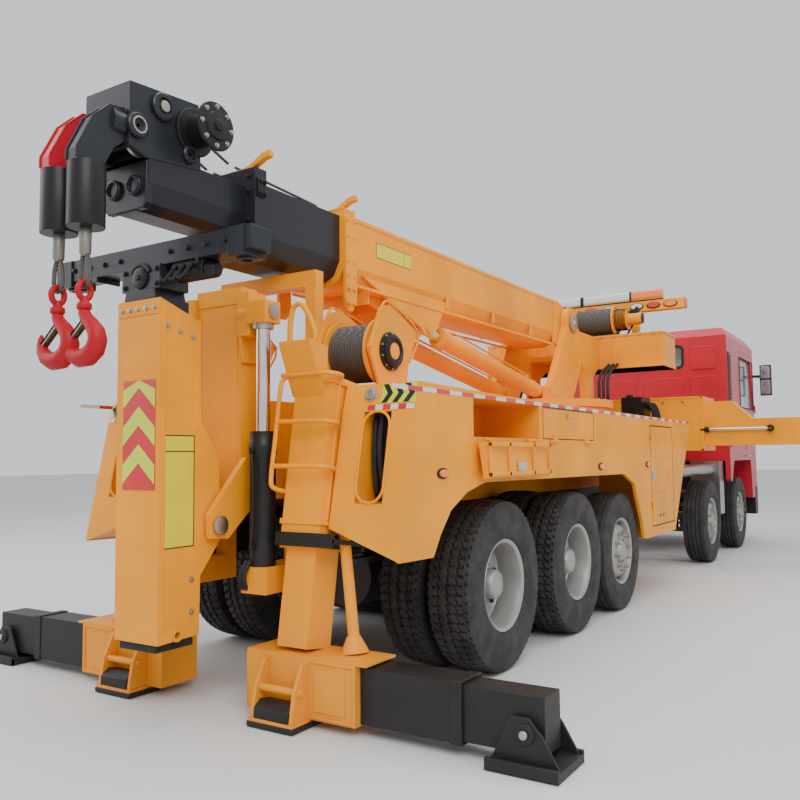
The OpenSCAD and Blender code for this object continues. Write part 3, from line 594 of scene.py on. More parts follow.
@dataclass
class Assembly:
    """A group of pieces made of shapes, each riding on a body.

    The names of the pieces go on the list that all assemblies share.
    """

    made: list[str]

    def piece(
        self,
        name: str,
        shape: Shape | bpy.types.Mesh,
        body: str,
        finish: Finish,
        bevel: float = 0.0,
        stands_for: Sequence[str] = (),
        smooth: float = 38.0,
    ) -> bpy.types.Object:
        """Makes one piece.

        Args:
            name: the piece's name.
            shape: its solids, or a finished mesh.
            body: the body it rides on.
            finish: its finish.
            bevel: width of its rounded edges.
            stands_for: CAD nodes that it replaces.
            smooth: largest angle shaded smooth, in degrees.

        Returns:
            The new object.
        """
        mesh = shape.mesh(name, smooth) if isinstance(shape, Shape) else shape
        if not mesh.materials:
            mesh.materials.append(finish.material)
        piece = bpy.data.objects.new(name, mesh)
        link_in(piece)
        if bevel:
            edge = piece.modifiers.new("rounded", "BEVEL")
            edge.width, edge.segments, edge.limit_method = bevel, 2, "ANGLE"
            edge.angle_limit = math.radians(40)
        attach(piece, body)
        if stands_for:
            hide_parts(*stands_for)
        self.made.append(name)
        LOG.info("%s rides on %s", name, body)
        return piece

    def scattered(
        self,
        name: str,
        template: Shape,
        spots: Sequence[Spot],
        body: str,
        finish: Finish,
        size: float = 1.0,
    ) -> bpy.types.Object:
        """Repeats a small shape at many spots with a Geometry Nodes tree.

        Args:
            name: the piece's name.
            template: one item, drawn at the origin and pointing up (+z).
            spots: pairs of place and facing direction, as (r, f, z).
            body: the body that they all ride on.
            finish: their finish.
            size: scale of every item.

        Returns:
            One joined piece.
        """
        origin = Datum.point(0, 0, 0)
        item_mesh = template.mesh(name + "_item")
        item_mesh.transform(Matrix.Translation(-origin))
        item = bpy.data.objects.new(name + "_item", item_mesh)
        points = bpy.data.meshes.new(name + "_spots")
        points.from_pydata([Datum.point(*place) for place, _ in spots], [], [])
        facing = points.attributes.new("facing", "FLOAT_VECTOR", "POINT")
        for i, (_, way) in enumerate(spots):
            facing.data[i].vector = Datum.point(*way) - origin
        holder = bpy.data.objects.new(name + "_spots", points)
        for o in (item, holder):
            link_in(o)
        tree = Scatter(item, finish).tree(size)
        modifier = holder.modifiers.new("scatter", "NODES")
        modifier.node_group = tree
        bpy.context.view_layer.update()
        graph = bpy.context.evaluated_depsgraph_get()
        mesh = bpy.data.meshes.new_from_object(holder.evaluated_get(graph), depsgraph=graph)
        mesh.name = name
        holder.modifiers.clear()
        for o in (item, holder):
            bpy.data.objects.remove(o)
        return self.piece(name, mesh, body, finish)


@dataclass
class SideAssembly(Assembly):
    """An assembly that is built once for each side."""

    side: str
    q: int

    def fit(self, name: str, shape: Shape, body: str, finish: Finish,
            bevel: float = 0.0) -> bpy.types.Object:
        """Makes this side's copy of a piece that is drawn on the right.

        Args:
            name: the piece's name without its side.
            shape: its solids.
            body: the body it rides on.
            finish: its finish.
            bevel: width of its rounded edges.

        Returns:
            The new object.
        """
        return self.piece(f"{name}_{self.side}", shape.flipped(self.q), body, finish, bevel)


@dataclass
class Scatter:
    """Geometry Nodes tree that puts an item on every vertex, turned to its facing."""

    item: bpy.types.Object
    finish: Finish

    def tree(self, size: float) -> bpy.types.NodeTree:
        """Builds the tree.

        Args:
            size: default of the tree's Size input.

        Returns:
            The node group.
        """
        group = bpy.data.node_groups.new(self.item.name + "_scatter", "GeometryNodeTree")
        group.interface.new_socket("Geometry", in_out="INPUT", socket_type="NodeSocketGeometry")
        scale = group.interface.new_socket("Size", in_out="INPUT", socket_type="NodeSocketFloat")
        scale.default_value = size
        group.interface.new_socket("Geometry", in_out="OUTPUT", socket_type="NodeSocketGeometry")
        nodes, link = group.nodes, group.links.new
        start, end = nodes.new("NodeGroupInput"), nodes.new("NodeGroupOutput")
        info = nodes.new("GeometryNodeObjectInfo")
        info.inputs["Object"].default_value = self.item
        facing = nodes.new("GeometryNodeInputNamedAttribute")
        facing.data_type = "FLOAT_VECTOR"
        facing.inputs["Name"].default_value = "facing"
        align = nodes.new("FunctionNodeAlignRotationToVector")
        align.axis = "Z"
        place = nodes.new("GeometryNodeInstanceOnPoints")
        real = nodes.new("GeometryNodeRealizeInstances")
        dress = nodes.new("GeometryNodeSetMaterial")
        dress.inputs["Material"].default_value = self.finish.material
        link(start.outputs["Geometry"], place.inputs["Points"])
        link(info.outputs["Geometry"], place.inputs["Instance"])
        link(facing.outputs["Attribute"], align.inputs["Vector"])
        link(align.outputs["Rotation"], place.inputs["Rotation"])
        link(start.outputs["Size"], place.inputs["Scale"])
        link(place.outputs["Instances"], real.inputs["Geometry"])
        link(real.outputs["Geometry"], dress.inputs["Geometry"])
        link(dress.outputs["Geometry"], end.inputs["Geometry"])
        return group


def arc(centre: Flat, radius: float, start: float, end: float, steps: int = 10) -> list[Flat]:
    """Gives points along an arc.

    Args:
        centre: its middle.
        radius: its radius.
        start: first angle in degrees, from the first axis towards the second.
        end: last angle in degrees.
        steps: how many stretches.

    Returns:
        The points, both ends included.
    """
    turns = (math.radians(start + (end - start) * k / steps) for k in range(steps + 1))
    return [(centre[0] + radius * math.cos(t), centre[1] + radius * math.sin(t)) for t in turns]


def rounded(a0: float, a1: float, b0: float, b1: float, radius: float, steps: int = 5) -> list[Flat]:
    """Gives a rectangle's outline with round corners.

    Args:
        a0: low edge of the first axis.
        a1: high edge of the first axis.
        b0: low edge of the second axis.
        b1: high edge of the second axis.
        radius: corner radius.
        steps: stretches in each corner.

    Returns:
        Its corners in order.
    """
    outline: list[Flat] = []
    corners = ((a1, b1, 0), (a0, b1, 90), (a0, b0, 180), (a1, b0, 270))
    for a, b, start in corners:
        centre = (a - math.copysign(radius, a - (a0 + a1) / 2), b - math.copysign(radius, b - (b0 + b1) / 2))
        outline += arc(centre, radius, start, start + 90, steps)
    return outline


# --- small shared items
def bolt(radius: float = 0.011, height: float = 0.009) -> Shape:
    """Gives a hexagon bolt head on its washer, standing on the origin."""
    head = Shape().lathe((0, 0, 0), UP, ((0, 0), (radius * 1.3, 0), (radius * 1.3, height * 0.25),
        (0, height * 0.25)), 10)
    return head.lathe((0, 0, height * 0.2), UP, ((0, 0), (radius, 0), (radius, height),
        (radius * 0.7, height * 1.12), (0, height * 1.12)), 6)


def puck(radius: float, tall: float) -> tuple[Flat, ...]:
    """Gives the profile of a plain disc."""
    return (0, 0), (radius, 0), (radius, tall), (0, tall)


def washer(hole: float, radius: float, tall: float) -> tuple[Flat, ...]:
    """Gives the profile of a disc with a hole."""
    return (hole, 0), (radius, 0), (radius, tall), (hole, tall)


def ring_of(centre: Point, axis: Point, radius: float, count: int, turn: float = 0.0) -> list[Spot]:
    """Spaces places evenly round an axis, each facing along it.

    Args:
        centre: middle of the ring.
        axis: its axis.
        radius: its radius.
        count: how many places.
        turn: first place's angle, in degrees.

    Returns:
        Pairs of place and facing.
    """
    line = Vector(axis).normalized()
    across = line.orthogonal().normalized()
    other = line.cross(across)
    places = []
    for k in range(count):
        t = TAU * k / count + math.radians(turn)
        spot = Vector(centre) + (across * math.cos(t) + other * math.sin(t)) * radius
        places.append((tuple(spot), tuple(line)))
    return places


def row(start: Point, end: Point, count: int, face: Point) -> list[Spot]:
    """Spaces places evenly on a line, all facing one way."""
    a, b = Vector(start), Vector(end)
    return [(tuple(a.lerp(b, k / max(1, count - 1))), face) for k in range(count)]


# --- CAD parts keep their own shape
@dataclass
class PaintShop:
    """Dresses the carried-over parts."""

    jobs: dict[Finish, tuple[str, ...]] = field(
        default_factory=lambda: {
            Finish.YELLOW: (
                "side_bodies deck rear_frame drag_winches outrigger_housing turret boom_base lift_cylinders "
                "underlift_mast underlift_arm rear_leg_ front_beam_ drop_door_ tall_door_"
            ).split(),
            Finish.RED: ("cab_shell", "cab_door_", "swing_head_left"),
            Finish.GREY: ("boom_middle", "boom_tip", "swing_head_right", "crossbar"),
            Finish.BLACK: (
                "front_bumper mirrors hydraulic_unit turret_winches rear_beam_ rear_foot_ front_jack_ "
                "chassis_frame"
            ).split(),
            Finish.CHROME: ("lift_rods",),
            Finish.STEEL: ("exhaust_system",),
            Finish.GLASS: ("cab_glass",),
            Finish.TRIM: ("cab_interior",),
            Finish.RIM: ("wheel_", "twin_wheels_"),
        }
    )

    def dress(self) -> None:
        """Gives every carried-over part its finish, cast iron where none is named."""
        for name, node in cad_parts.items():
            finish = next((f for f, starts in self.jobs.items() if any(name.startswith(s) for s in starts)),
                Finish.CAST)
            node.data.materials.clear()
            node.data.materials.append(finish.material)
            LOG.info("%s wears %s", name, finish.name)


# --- wheels
@dataclass
class Tyre:
    """A commercial tyre whose tread is raised from a grid of angle and height."""

    outer: float
    width: float
    bead: float = 0.29
    lug: bool = False
    steps: int = 240
    depth: float = 0.014

    def groove(self, turn: float, across: float) -> float:
        """Gives the depth of the tread at an angle and a place across it.

        Args:
            turn: angle as a fraction of the whole turn.
            across: place across the tread, -1 to 1.

        Returns:
            0 at the surface, 1 at a groove's bottom.
        """
        if self.lug:
            wave = 0.07 * math.sin(TAU * turn * 60)
            if abs(across + wave) < 0.05 or abs(abs(across) - 0.46 + wave) < 0.045:
                return 1.0
            phase = (turn * 60 + 0.3 * across) % 1.0
            return 0.9 if abs(across) > 0.5 and phase < 0.24 else (0.6 if phase < 0.14 else 0.0)
        wave = 0.02 * math.sin(TAU * turn * 40)
        near = min(abs(across + wave - c) for c in (-0.58, -0.2, 0.2, 0.58))
        return 1.0 if near < 0.045 else 0.0

    def mesh(self, centre: Point, steps_across: int = 44) -> Shape:
        """Builds the closed tyre.

        Args:
            centre: middle of the wheel.
            steps_across: grid lines across the tread.

        Returns:
            The tyre.
        """
        half, shape = self.width / 2, Shape()
        crown = [(-1 + 2 * k / steps_across) for k in range(steps_across + 1)]
        shoulder, wall = half * 0.86, self.outer - self.bead
        sides = (
            (self.bead, half * 0.62),
            (self.bead + wall * 0.06, half * 0.86),
            (self.bead + wall * 0.2, half * 0.97),
            (self.bead + wall * 0.45, half),
            (self.bead + wall * 0.5, half * 0.985),
            (self.bead + wall * 0.68, half * 0.97),
            (self.bead + wall * 0.84, half * 0.915),
        )
        rings = []
        for k in range(self.steps):
            turn = k / self.steps
            profile = [(r, -x) for r, x in sides]
            for c in crown:
                drop = 0.012 * abs(c) ** 3
                cut = self.groove(turn, c) * self.depth * (1 if abs(c) < 0.97 else 0.6)
                profile.append((self.outer - drop - cut, c * shoulder))
            profile += [(r, x) for r, x in reversed(sides)]
            profile += [(self.bead - 0.012, half * 0.5), (self.bead - 0.012, -half * 0.5)]
            ring = []
            for radius, along in profile:
                t = TAU * turn
                ring.append(
                    shape.bm.verts.new((centre[0] + along, centre[1] + radius * math.cos(t),
                    centre[2] + radius * math.sin(t)))
                )
            rings.append(ring)
        for k in range(self.steps):
            low, high = rings[k], rings[(k + 1) % self.steps]
            for i in range(len(low)):
                j = (i + 1) % len(low)
                shape.bm.faces.new((low[i], low[j], high[j], high[i]))
        return shape


@dataclass
class WheelSet(Assembly):
    """All fourteen tyres with their rims, hubs and studs."""

    twin_tracks: tuple[float, float] = (1.04, 0.69)
    stud_ring: float = 0.1675

    def rim(self, centre: Point, q: int, half: float, dish: float) -> Shape:
        """Builds a steel disc rim.

        Args:
            centre: middle of the wheel.
            q: 1 where its outside faces right, -1 left.
            half: half the tyre's width.
            dish: how far the disc stands out from the middle, below 0 for a deep dish.

        Returns:
            The rim.
        """
        lip, axis = half * 0.86, (q, 0, 0)
        barrel = (
            (0.296, lip), (0.302, lip - 0.012), (0.281, lip - 0.03), (0.276, -lip + 0.03),
            (0.302, -lip + 0.012),
            (0.296, -lip), (0.27, -lip + 0.012), (0.262, -lip + 0.05), (0.262, lip - 0.05),
            (0.274, lip - 0.012),
        )
        disc = (
            (0.264, dish * 0.35 - 0.012), (0.264, dish * 0.35 + 0.004), (0.225, dish + 0.012),
            (0.2, dish + 0.026),
            (0.145, dish + 0.03), (0.118, dish + 0.018), (0.112, dish + 0.018), (0.112, dish + 0.002),
            (0.2, dish + 0.008),
        )
        return Shape().lathe(centre, axis, barrel, 64).lathe(centre, axis, disc, 64)

    def holes(self, centre: Point, q: int, dish: float) -> Shape:
        """Builds black discs on the rim, painted shade standing for the dark seen through each hand hole.

        Args:
            centre: middle of the wheel.
            q: 1 where its outside faces right, -1 left.
            dish: how far the disc stands out.

        Returns:
            The eight painted shade discs.
        """
        shape = Shape()
        # black discs at the dish: painted shade, since the rim itself is drawn without openings
        for place, _ in ring_of((centre[0] + q * (dish * 0.62 + 0.014), centre[1], centre[2]), (q, 0, 0),
                0.241, 8, 11):
            shape.lathe(place, (q, 0, 0), ((0, -0.006), (0.023, -0.006), (0.025, 0.002), (0.02, 0.004),
                (0, 0.004)), 20)
        return shape

    def hub(self, centre: Point, q: int, dish: float, reach: float) -> Shape:
        """Builds the hub and its cap.

        Args:
            centre: middle of the wheel.
            q: 1 where its outside faces right, -1 left.
            dish: how far the disc stands out.
            reach: how far the cap's end stands out.

        Returns:
            The hub.
        """
        profile = (
            (0, dish - 0.02), (0.11, dish - 0.02), (0.11, dish + 0.03), (0.1, dish + 0.045),
            (0.096, reach - 0.03),
            (0.085, reach - 0.012), (0.06, reach), (0.02, reach + 0.002), (0, reach + 0.002),
        )
        return Shape().lathe(centre, (q, 0, 0), profile, 40)

    def studs(self, centre: Point, q: int, dish: float) -> list[Spot]:
        """Gives the places of the ten wheel nuts."""
        return ring_of((centre[0] + q * (dish + 0.028), centre[1], centre[2]), (q, 0, 0), self.stud_ring, 10)

    @staticmethod
    def nut() -> Shape:
        """Gives a wheel nut on its stud."""
        profile = ((0, 0), (0.022, 0), (0.022, 0.006), (0.017, 0.008), (0.016, 0.026), (0.011, 0.03),
            (0.011, 0.044), (0, 0.046))
        return Shape().lathe((0, 0, 0), UP, profile, 12)

    def single(self, number: int, side: str, q: int) -> None:
        """Builds a steered or lifting single wheel.

        Args:
            number: axle, from the front.
            side: right or left.
            q: 1 for right, -1 for left.
        """
        node = f"wheel_{number}_{side}"
        low, high = Datum.extent(node)
        centre = tuple((a + b) / 2 for a, b in zip(low, high))
        outer, half = (high[2] - low[2]) / 2, (high[0] - low[0]) / 2
        tyre = Tyre(outer - 0.001, half * 2 - 0.002)
        made = self.piece(f"tyre_{number}_{side}", tyre.mesh(centre), node, Finish.TYRE, stands_for=(node,),
            smooth=30)
        dish = half * 0.62
        self.piece(f"rim_{number}_{side}", self.rim(centre, q, half, dish), node, Finish.RIM)
        # black discs that paint the shade seen through each hand hole
        self.piece(f"hand_holes_{number}_{side}", self.holes(centre, q, dish), node, Finish.BLACK)
        self.piece(f"hub_{number}_{side}", self.hub(centre, q, dish, half * 0.98), node, Finish.RIM)
        self.scattered(f"nuts_{number}_{side}", self.nut(), self.studs(centre, q, dish), node, Finish.ZINC)

    def twin(self, number: int, side: str, q: int) -> None:
        """Builds a pair of driven wheels.

        Args:
            number: axle, from the front.
            side: right or left.
            q: 1 for right, -1 for left.
        """
        node = f"twin_wheels_{number}_{side}"
        low, high = Datum.extent(node)
        f, z, outer = (low[1] + high[1]) / 2, (low[2] + high[2]) / 2, (high[2] - low[2]) / 2
        for place, track in zip(("outer", "inner"), self.twin_tracks):
            centre = (q * track, f, z)
            tyre = Tyre(outer - 0.001, 0.313, lug=True, depth=0.018)
            name = f"tyre_{number}_{place}_{side}"
            stands_for = (node,) if place == "outer" else ()
            made = self.piece(name, tyre.mesh(centre), node, Finish.TYRE, stands_for=stands_for, smooth=30)
            dish = -0.11 if place == "outer" else 0.11
            self.piece(f"rim_{number}_{place}_{side}", self.rim(centre, q, 0.157, dish), node, Finish.RIM)
        centre = (q * self.twin_tracks[0], f, z)
        # black discs that paint the shade seen through each hand hole
        self.piece(f"hand_holes_{number}_{side}", self.holes(centre, q, -0.11), node, Finish.BLACK)
        self.piece(f"hub_{number}_{side}", self.hub(centre, q, -0.11, 0.09), node, Finish.RIM)
        self.scattered(f"nuts_{number}_{side}", self.nut(), self.studs(centre, q, -0.11), node, Finish.ZINC)

    def build(self) -> None:
        """Builds every wheel."""
        for side, q in SIDES.items():
            for number in (1, 2, 3):
                self.single(number, side, q)
            for number in (4, 5):
                self.twin(number, side, q)


# --- side bodies
@dataclass
class BodySide(SideAssembly):
    """Tape, lamps, latches and door furniture along both body sides."""

    face: float = 1.25
    tape_z: float = 1.757
    tape_ends: Flat = (-1.45, 4.9)
    tape_step: float = 0.15

    def tape(self) -> None:
        """Lays the alternating tape under the body's top edge."""
        start, end = self.tape_ends
        count = int((end - start) / self.tape_step)
        red, white = [], []
        for k in range(count):
            spot = ((self.q * (self.face + 0.0004), start + self.tape_step * (k + 0.5), self.tape_z),
                (self.q, 0, 0))
            (red if k % 2 else white).append(spot)
        half = self.tape_step / 2 * 0.985
        for name, finish, spots in (("red", Finish.TAPE_RED, red), ("white", Finish.TAPE_WHITE, white)):
            strip = Shape().box(-0.012, 0.012, -half, half, 0.0, 0.0012)
            self.scattered(f"tape_{name}_{self.side}", strip, spots, TRUCK, finish)

    def lamps(self) -> None:
        """Builds the amber side lamps in their rubber frames."""
        lens, frame_ring = Shape(), Shape()
        for f in (-0.945, 1.724, 3.106):
            for shape, scale, low, tall in ((lens, 0.022, 0.004, 0.016), (frame_ring, 0.031, 0.0, 0.008)):
                outline = [(f + 2.1 * y, 1.3 + z) for y, z in arc((0, 0), scale, 0, 345, 23)]
                shape.side(self.face + low, self.face + low + tall, outline)
        self.fit("side_lamps", lens, TRUCK, Finish.AMBER, bevel=0.004)
        self.fit("side_lamp_frames", frame_ring, TRUCK, Finish.HOSE, bevel=0.003)

    def tall_door(self) -> None:
        """Builds the tall door's seam, latch and lock, and two black ovals that paint the shade inside its
        slot openings.
        """
        body = f"tall_door_{self.side}"
        (_, f0, z0), (_, f1, z1) = Datum.extent(body)
        seal = Shape()
        for a, b, c, d in ((f0, f1, z0, z0 + 0.006), (f0, f1, z1 - 0.006, z1), (f0, f0 + 0.006, z0, z1),
                (f1 - 0.006, f1, z0, z1)):
            seal.box(self.face - 0.004, self.face + 0.0012, a, b, c, d)
        self.fit("tall_door_seal", seal, body, Finish.HOSE)
        press = Shape()
        for z in (1.02, 1.36):
            press.box(self.face - 0.002, self.face + 0.006, f0 + 0.1, f1 - 0.1, z, z + 0.012)
        self.fit("tall_door_ribs", press, body, Finish.YELLOW, bevel=0.003)
        latch = Shape().box(self.face, self.face + 0.006, f0 + 0.03, f0 + 0.09, 1.13, 1.25)
        latch.rod((self.face + 0.012, f0 + 0.06, 1.14), (self.face + 0.012, f0 + 0.06, 1.235), 0.009, 14)
        latch.box(self.face + 0.004, self.face + 0.02, f0 + 0.042, f0 + 0.078, 1.2, 1.235)
        self.fit("tall_door_latch", latch, body, Finish.CHROME, bevel=0.002)
        # black ovals on the door face: painted shade standing for the dark inside the two slot openings
        slot_shade = Shape()
        for f in (f0 + 0.3, f0 + 0.42):
            slot_shade.side(self.face, self.face + 0.0015, [(f + 2.2 * y, 0.78 + z) for y,
                z in arc((0, 0), 0.014, 0, 340, 17)])
        lock = Shape().lathe((self.face, f0 + 0.14, 1.19), RIGHT,
            ((0, 0), (0.018, 0), (0.017, 0.006), (0, 0.006)), 20)
        self.fit("tall_door_slots", slot_shade, body, Finish.BLACK)
        self.fit("tall_door_lock", lock, body, Finish.CHROME)

    def drop_doors(self) -> None:
        """Builds the drop doors' latches, and the inner frame of the one that hangs open."""
        for number in (1, 2):
            body = f"drop_door_{number}_{self.side}"
            (r0, f0, z0), (r1, f1, z1) = Datum.extent(body)
            face = max(abs(r0), abs(r1))
            mid, hangs = (f0 + f1) / 2, (z0 + z1) / 2 < 1.5
            if hangs:
                pan = Shape()
                bars = [(f0 + 0.02, f1 - 0.02, z0 + 0.015, z0 + 0.04),
                    (f0 + 0.02, f1 - 0.02, z1 - 0.055, z1 - 0.03)]
                bars += [(f, f + 0.025, z0 + 0.015, z1 - 0.03)
                    for f in (f0 + 0.02, f1 - 0.045, mid - 0.2, mid + 0.18)]
                for bar in bars:
                    pan.box(face - 0.004, face + 0.008, *bar)
                self.fit(f"door_pan_{number}", pan, body, Finish.YELLOW, bevel=0.002)
            else:
                face = self.face
                seam = Shape().sweep([(self.face, f, z) for f,
                    z in rounded(f0 + 0.004, f1 - 0.004, z0 + 0.03, z1 - 0.004, 0.01)], 0.0022, 8, loop=True)
                self.fit(f"door_seam_{number}", seam, body, Finish.HOSE)
            z = z0 + 0.07 if hangs else z1 - 0.06
            latch = Shape().side(face - 0.002, face + 0.004,
                rounded(mid - 0.06, mid + 0.06, z - 0.028, z + 0.028, 0.01))
            latch.rod((face + 0.006, mid - 0.04, z), (face + 0.006, mid + 0.04, z), 0.006, 12)
            self.fit(f"door_latch_{number}", latch, body, Finish.CHROME, bevel=0.002)

    def build(self) -> None:
        """Builds one side."""
        self.tape()
        self.lamps()
        self.tall_door()
        self.drop_doors()


# --- rear end
@dataclass
class RearCorner(SideAssembly):
    """Socket, chevrons, tape and strap slot on the sloping rear corners."""

    fold: Flat = (-1.225, 1.643)
    upper_slope: float = -16.0
    lower_slope: float = -12.0

    def sloped(self, shape: Shape, slope: float) -> Shape:
        """Tips a shape drawn on the upright plane of the fold onto the sloping face.

        Args:
            shape: the shape.
            slope: lean of the face in degrees, below 0 where its top leans forward.

        Returns:
            The same shape.
        """
        return shape.turned((0, *self.fold), RIGHT, slope).flipped(self.q)

    def top_panel(self) -> None:
        """Builds the chevron panel, the tape below it and the trailer socket."""
        f, up = self.fold[0], self.upper_slope
        panel = Shape().box(1.02, 1.243, f - 0.003, f + 0.004, 1.688, 1.8)
        self.piece(f"corner_panel_{self.side}", self.sloped(panel, up), TRUCK, Finish.TAPE_LIME)
        marks = Shape()
        for k in range(3):
            r = 1.024 + k * 0.07
            tips = [(r, 1.69), (r + 0.035, 1.69), (r + 0.07, 1.744), (r + 0.035, 1.798), (r, 1.798),
                (r + 0.035, 1.744)]
            marks.rear(f - 0.0045, f - 0.002, tips)
        self.piece(f"corner_chevrons_{self.side}", self.sloped(marks, up), TRUCK, Finish.TAPE_BLACK)
        for name, finish, parity in (("red", Finish.TAPE_RED, 0), ("white", Finish.TAPE_WHITE, 1)):
            strip = Shape()
            for k in range(parity, 6, 2):
                strip.box(0.94 + k * 0.05, 0.988 + k * 0.05, f - 0.003, f + 0.002, 1.652, 1.68)
            self.piece(f"corner_tape_{name}_{self.side}", self.sloped(strip, up), TRUCK, finish)
        plate = Shape().rear(f - 0.008, f + 0.002, [(0.95 + x, 1.742 + z) for x,
            z in arc((0, 0), 0.045, 30, 330, 5)])
        cup = ((0, 0), (0.03, 0), (0.03, 0.012), (0.023, 0.016), (0.023, 0.008), (0, 0.008))
        plate.lathe((0.95, f - 0.006, 1.742), BACK, cup, 28)
        self.piece(f"socket_plate_{self.side}", self.sloped(plate, up), TRUCK, Finish.RIM, bevel=0.002)
        pins = Shape()
        for place, _ in ring_of((0.95, f - 0.012, 1.742), BACK, 0.014, 6):
            pins.rod(place, (place[0], place[1] - 0.006, place[2]), 0.0035, 10)
        self.piece(f"socket_pins_{self.side}", self.sloped(pins, up), TRUCK, Finish.ZINC)

    def strap_slot(self) -> None:
        """Builds the slot's rolled rim, a black sheet at its back that paints the shade inside the slot, and
        the straps stowed in it.
        """
        f, down = self.fold[0], self.lower_slope
        rim = Shape().sweep([(r, f - 0.001, z) for r, z in rounded(0.922, 1.098, 1.14, 1.645, 0.085)], 0.008,
            8, loop=True)
        self.piece(f"strap_slot_rim_{self.side}", self.sloped(rim, down), TRUCK, Finish.YELLOW)
        # black sheet at the back of the slot: painted shade for the dark recess
        slot_shade_sheet = Shape().box(0.923, 1.097, -1.134, -1.129, 1.15, 1.64).flipped(self.q)
        self.piece(f"strap_slot_lining_{self.side}", slot_shade_sheet, TRUCK, Finish.BLACK)
        straps = Shape()
        for r, z, sag in ((0.955, 1.6, 0.02), (1.0, 1.63, 0.035), (1.045, 1.58, 0.02), (1.075, 1.61, 0.012)):
            straps.sweep([(r, -1.16 - sag * math.sin(k / 11 * math.pi), z - 0.4 * k / 11)
                for k in range(12)], 0.016, 10)
        self.fit("stowed_straps", straps, TRUCK, Finish.HOSE)

    def build(self) -> None:
        """Builds one corner."""
        self.top_panel()
        self.strap_slot()


# --- boom head and rigging
@dataclass
class SwingHead(SideAssembly):
    """One of the two swivelling rope heads, with its weight, rope end and hook."""

    head_f: float = -2.425
    spread: float = 0.105
    weight_z: Flat = (2.527, 2.845)
    weight_r: float = 0.0925
    hook_top: float = 2.195

    @property
    def r(self) -> float:
        """Gives the head's distance to the right."""
        return self.q * self.spread

    def weight(self) -> Shape:
        """Builds the worn black rope weight."""
        low, high = self.weight_z
        radius, tall = self.weight_r, high - low
        profile = ((0.02, 0), (radius - 0.001, 0), (radius, 0.004), (radius, tall - 0.004),
            (radius - 0.001, tall), (0.02, tall))
        return Shape().lathe((self.r, self.head_f, low), UP, profile, 48)

    def arm_plates(self) -> Shape:
        """Builds the bent arm's stiffening lips and its swivel cap."""
        shape = Shape()
        line = ((-2.236, 3.183), (-2.33, 3.172), (-2.423, 3.082), (-2.513, 2.902), (-2.513, 2.85))
        for q in (-1, 1):
            shape.sweep([(self.r + q * 0.039, f, z) for f, z in line], 0.0055, 8)
        shape.lathe((self.r, -2.3, 3.106), BACK, ((0, 0.0), (0.074, 0.0), (0.072, 0.014), (0.03, 0.02),
            (0, 0.02)), 32)
        return shape

    def rope_end(self) -> tuple[Shape, Shape]:
        """Builds the rope with its thimble loop, and the swaged sleeve.

        Returns:
            The rope and the sleeve.
        """
        f, low = self.head_f, self.hook_top
        loop = [(self.r + 0.004, f, 2.415), (self.r + 0.016, f, 2.39), (self.r + 0.031, f, 2.34),
            (self.r + 0.034, f, low + 0.09)]
        loop += [(self.r + 0.034 * math.cos(t), f, low + 0.078 + 0.04 * math.sin(t))
            for t in (-math.pi * k / 8 for k in range(9))]
        loop += [(self.r - 0.034, f, low + 0.09), (self.r - 0.031, f, 2.34), (self.r - 0.016, f, 2.39),
            (self.r - 0.004, f, 2.415)]
        rope = Shape().sweep(loop, 0.0115, 14)
        rope.rod((self.r, f, 2.41), (self.r, f, 2.56), 0.016, 18)
        sleeve = Shape().lathe((self.r, f, 2.385), UP,
            ((0, 0), (0.017, 0), (0.028, 0.014), (0.03, 0.13), (0.024, 0.148), (0, 0.148)), 28)
        return rope, sleeve

    def hook(self) -> Shape:
        """Builds the swivel eye and the crane hook below it."""
        f, top = self.head_f, self.hook_top
        eye = [(self.r, f + 0.036 * math.cos(t), top + 0.02 + 0.042 * math.sin(t))
            for t in (TAU * k / 24 for k in range(24))]
        shape = Shape().sweep(eye, 0.0155, 14, loop=True)
        shape.lathe((self.r, f, top - 0.075), UP, ((0, 0), (0.03, 0), (0.036, 0.008), (0.036, 0.03),
            (0.024, 0.038), (0.02, 0.06), (0, 0.06)), 28)
        bend = (
            (0, -0.07, 0.024), (0.0, -0.1, 0.028), (0.016, -0.135, 0.031), (0.052, -0.175, 0.035),
            (0.084, -0.22, 0.041),
            (0.094, -0.268, 0.045), (0.078, -0.318, 0.047), (0.034, -0.355, 0.047), (-0.022, -0.36, 0.045),
            (-0.07, -0.335, 0.039), (-0.1, -0.295, 0.031), (-0.113, -0.255, 0.023), (-0.116, -0.22, 0.015),
            (-0.112, -0.195, 0.007),
        )
        return shape.sweep([(self.r + x * 1.12, f, top + z * 0.86) for x, z, _ in bend],
            [s * 1.02 for _, _, s in bend], 20)

    def latch(self) -> Shape:
        """Builds the spring latch across the hook's mouth."""
        f, top = self.head_f, self.hook_top
        line = [(self.r + 0.012, top - 0.115), (self.r + 0.028, top - 0.132), (self.r - 0.108, top - 0.24),
            (self.r - 0.118, top - 0.222)]
        shape = Shape().rear(f - 0.018, f - 0.013, line).rear(f + 0.013, f + 0.018, line)
        return shape.rear(f - 0.018, f + 0.018, [line[0], (self.r + 0.018, top - 0.122),
            (self.r - 0.112, top - 0.232), line[3]])

    def build(self) -> None:
        """Builds one head."""
        side, body = self.side, f"swing_head_{self.side}"
        self.piece(f"weight_{side}", self.weight(), body, Finish.BLACK)
        paint = Finish.GREY if self.q > 0 else Finish.HOOK
        self.piece(f"head_lips_{side}", self.arm_plates(), body, paint)
        rope, sleeve = self.rope_end()
        self.piece(f"rope_loop_{side}", rope, body, Finish.ROPE)
        self.piece(f"rope_sleeve_{side}", sleeve, body, Finish.SWAGE)
        self.piece(f"hook_{side}", self.hook(), body, Finish.HOOK, smooth=60)
        self.piece(f"hook_latch_{side}", self.latch(), body, Finish.SWAGE)


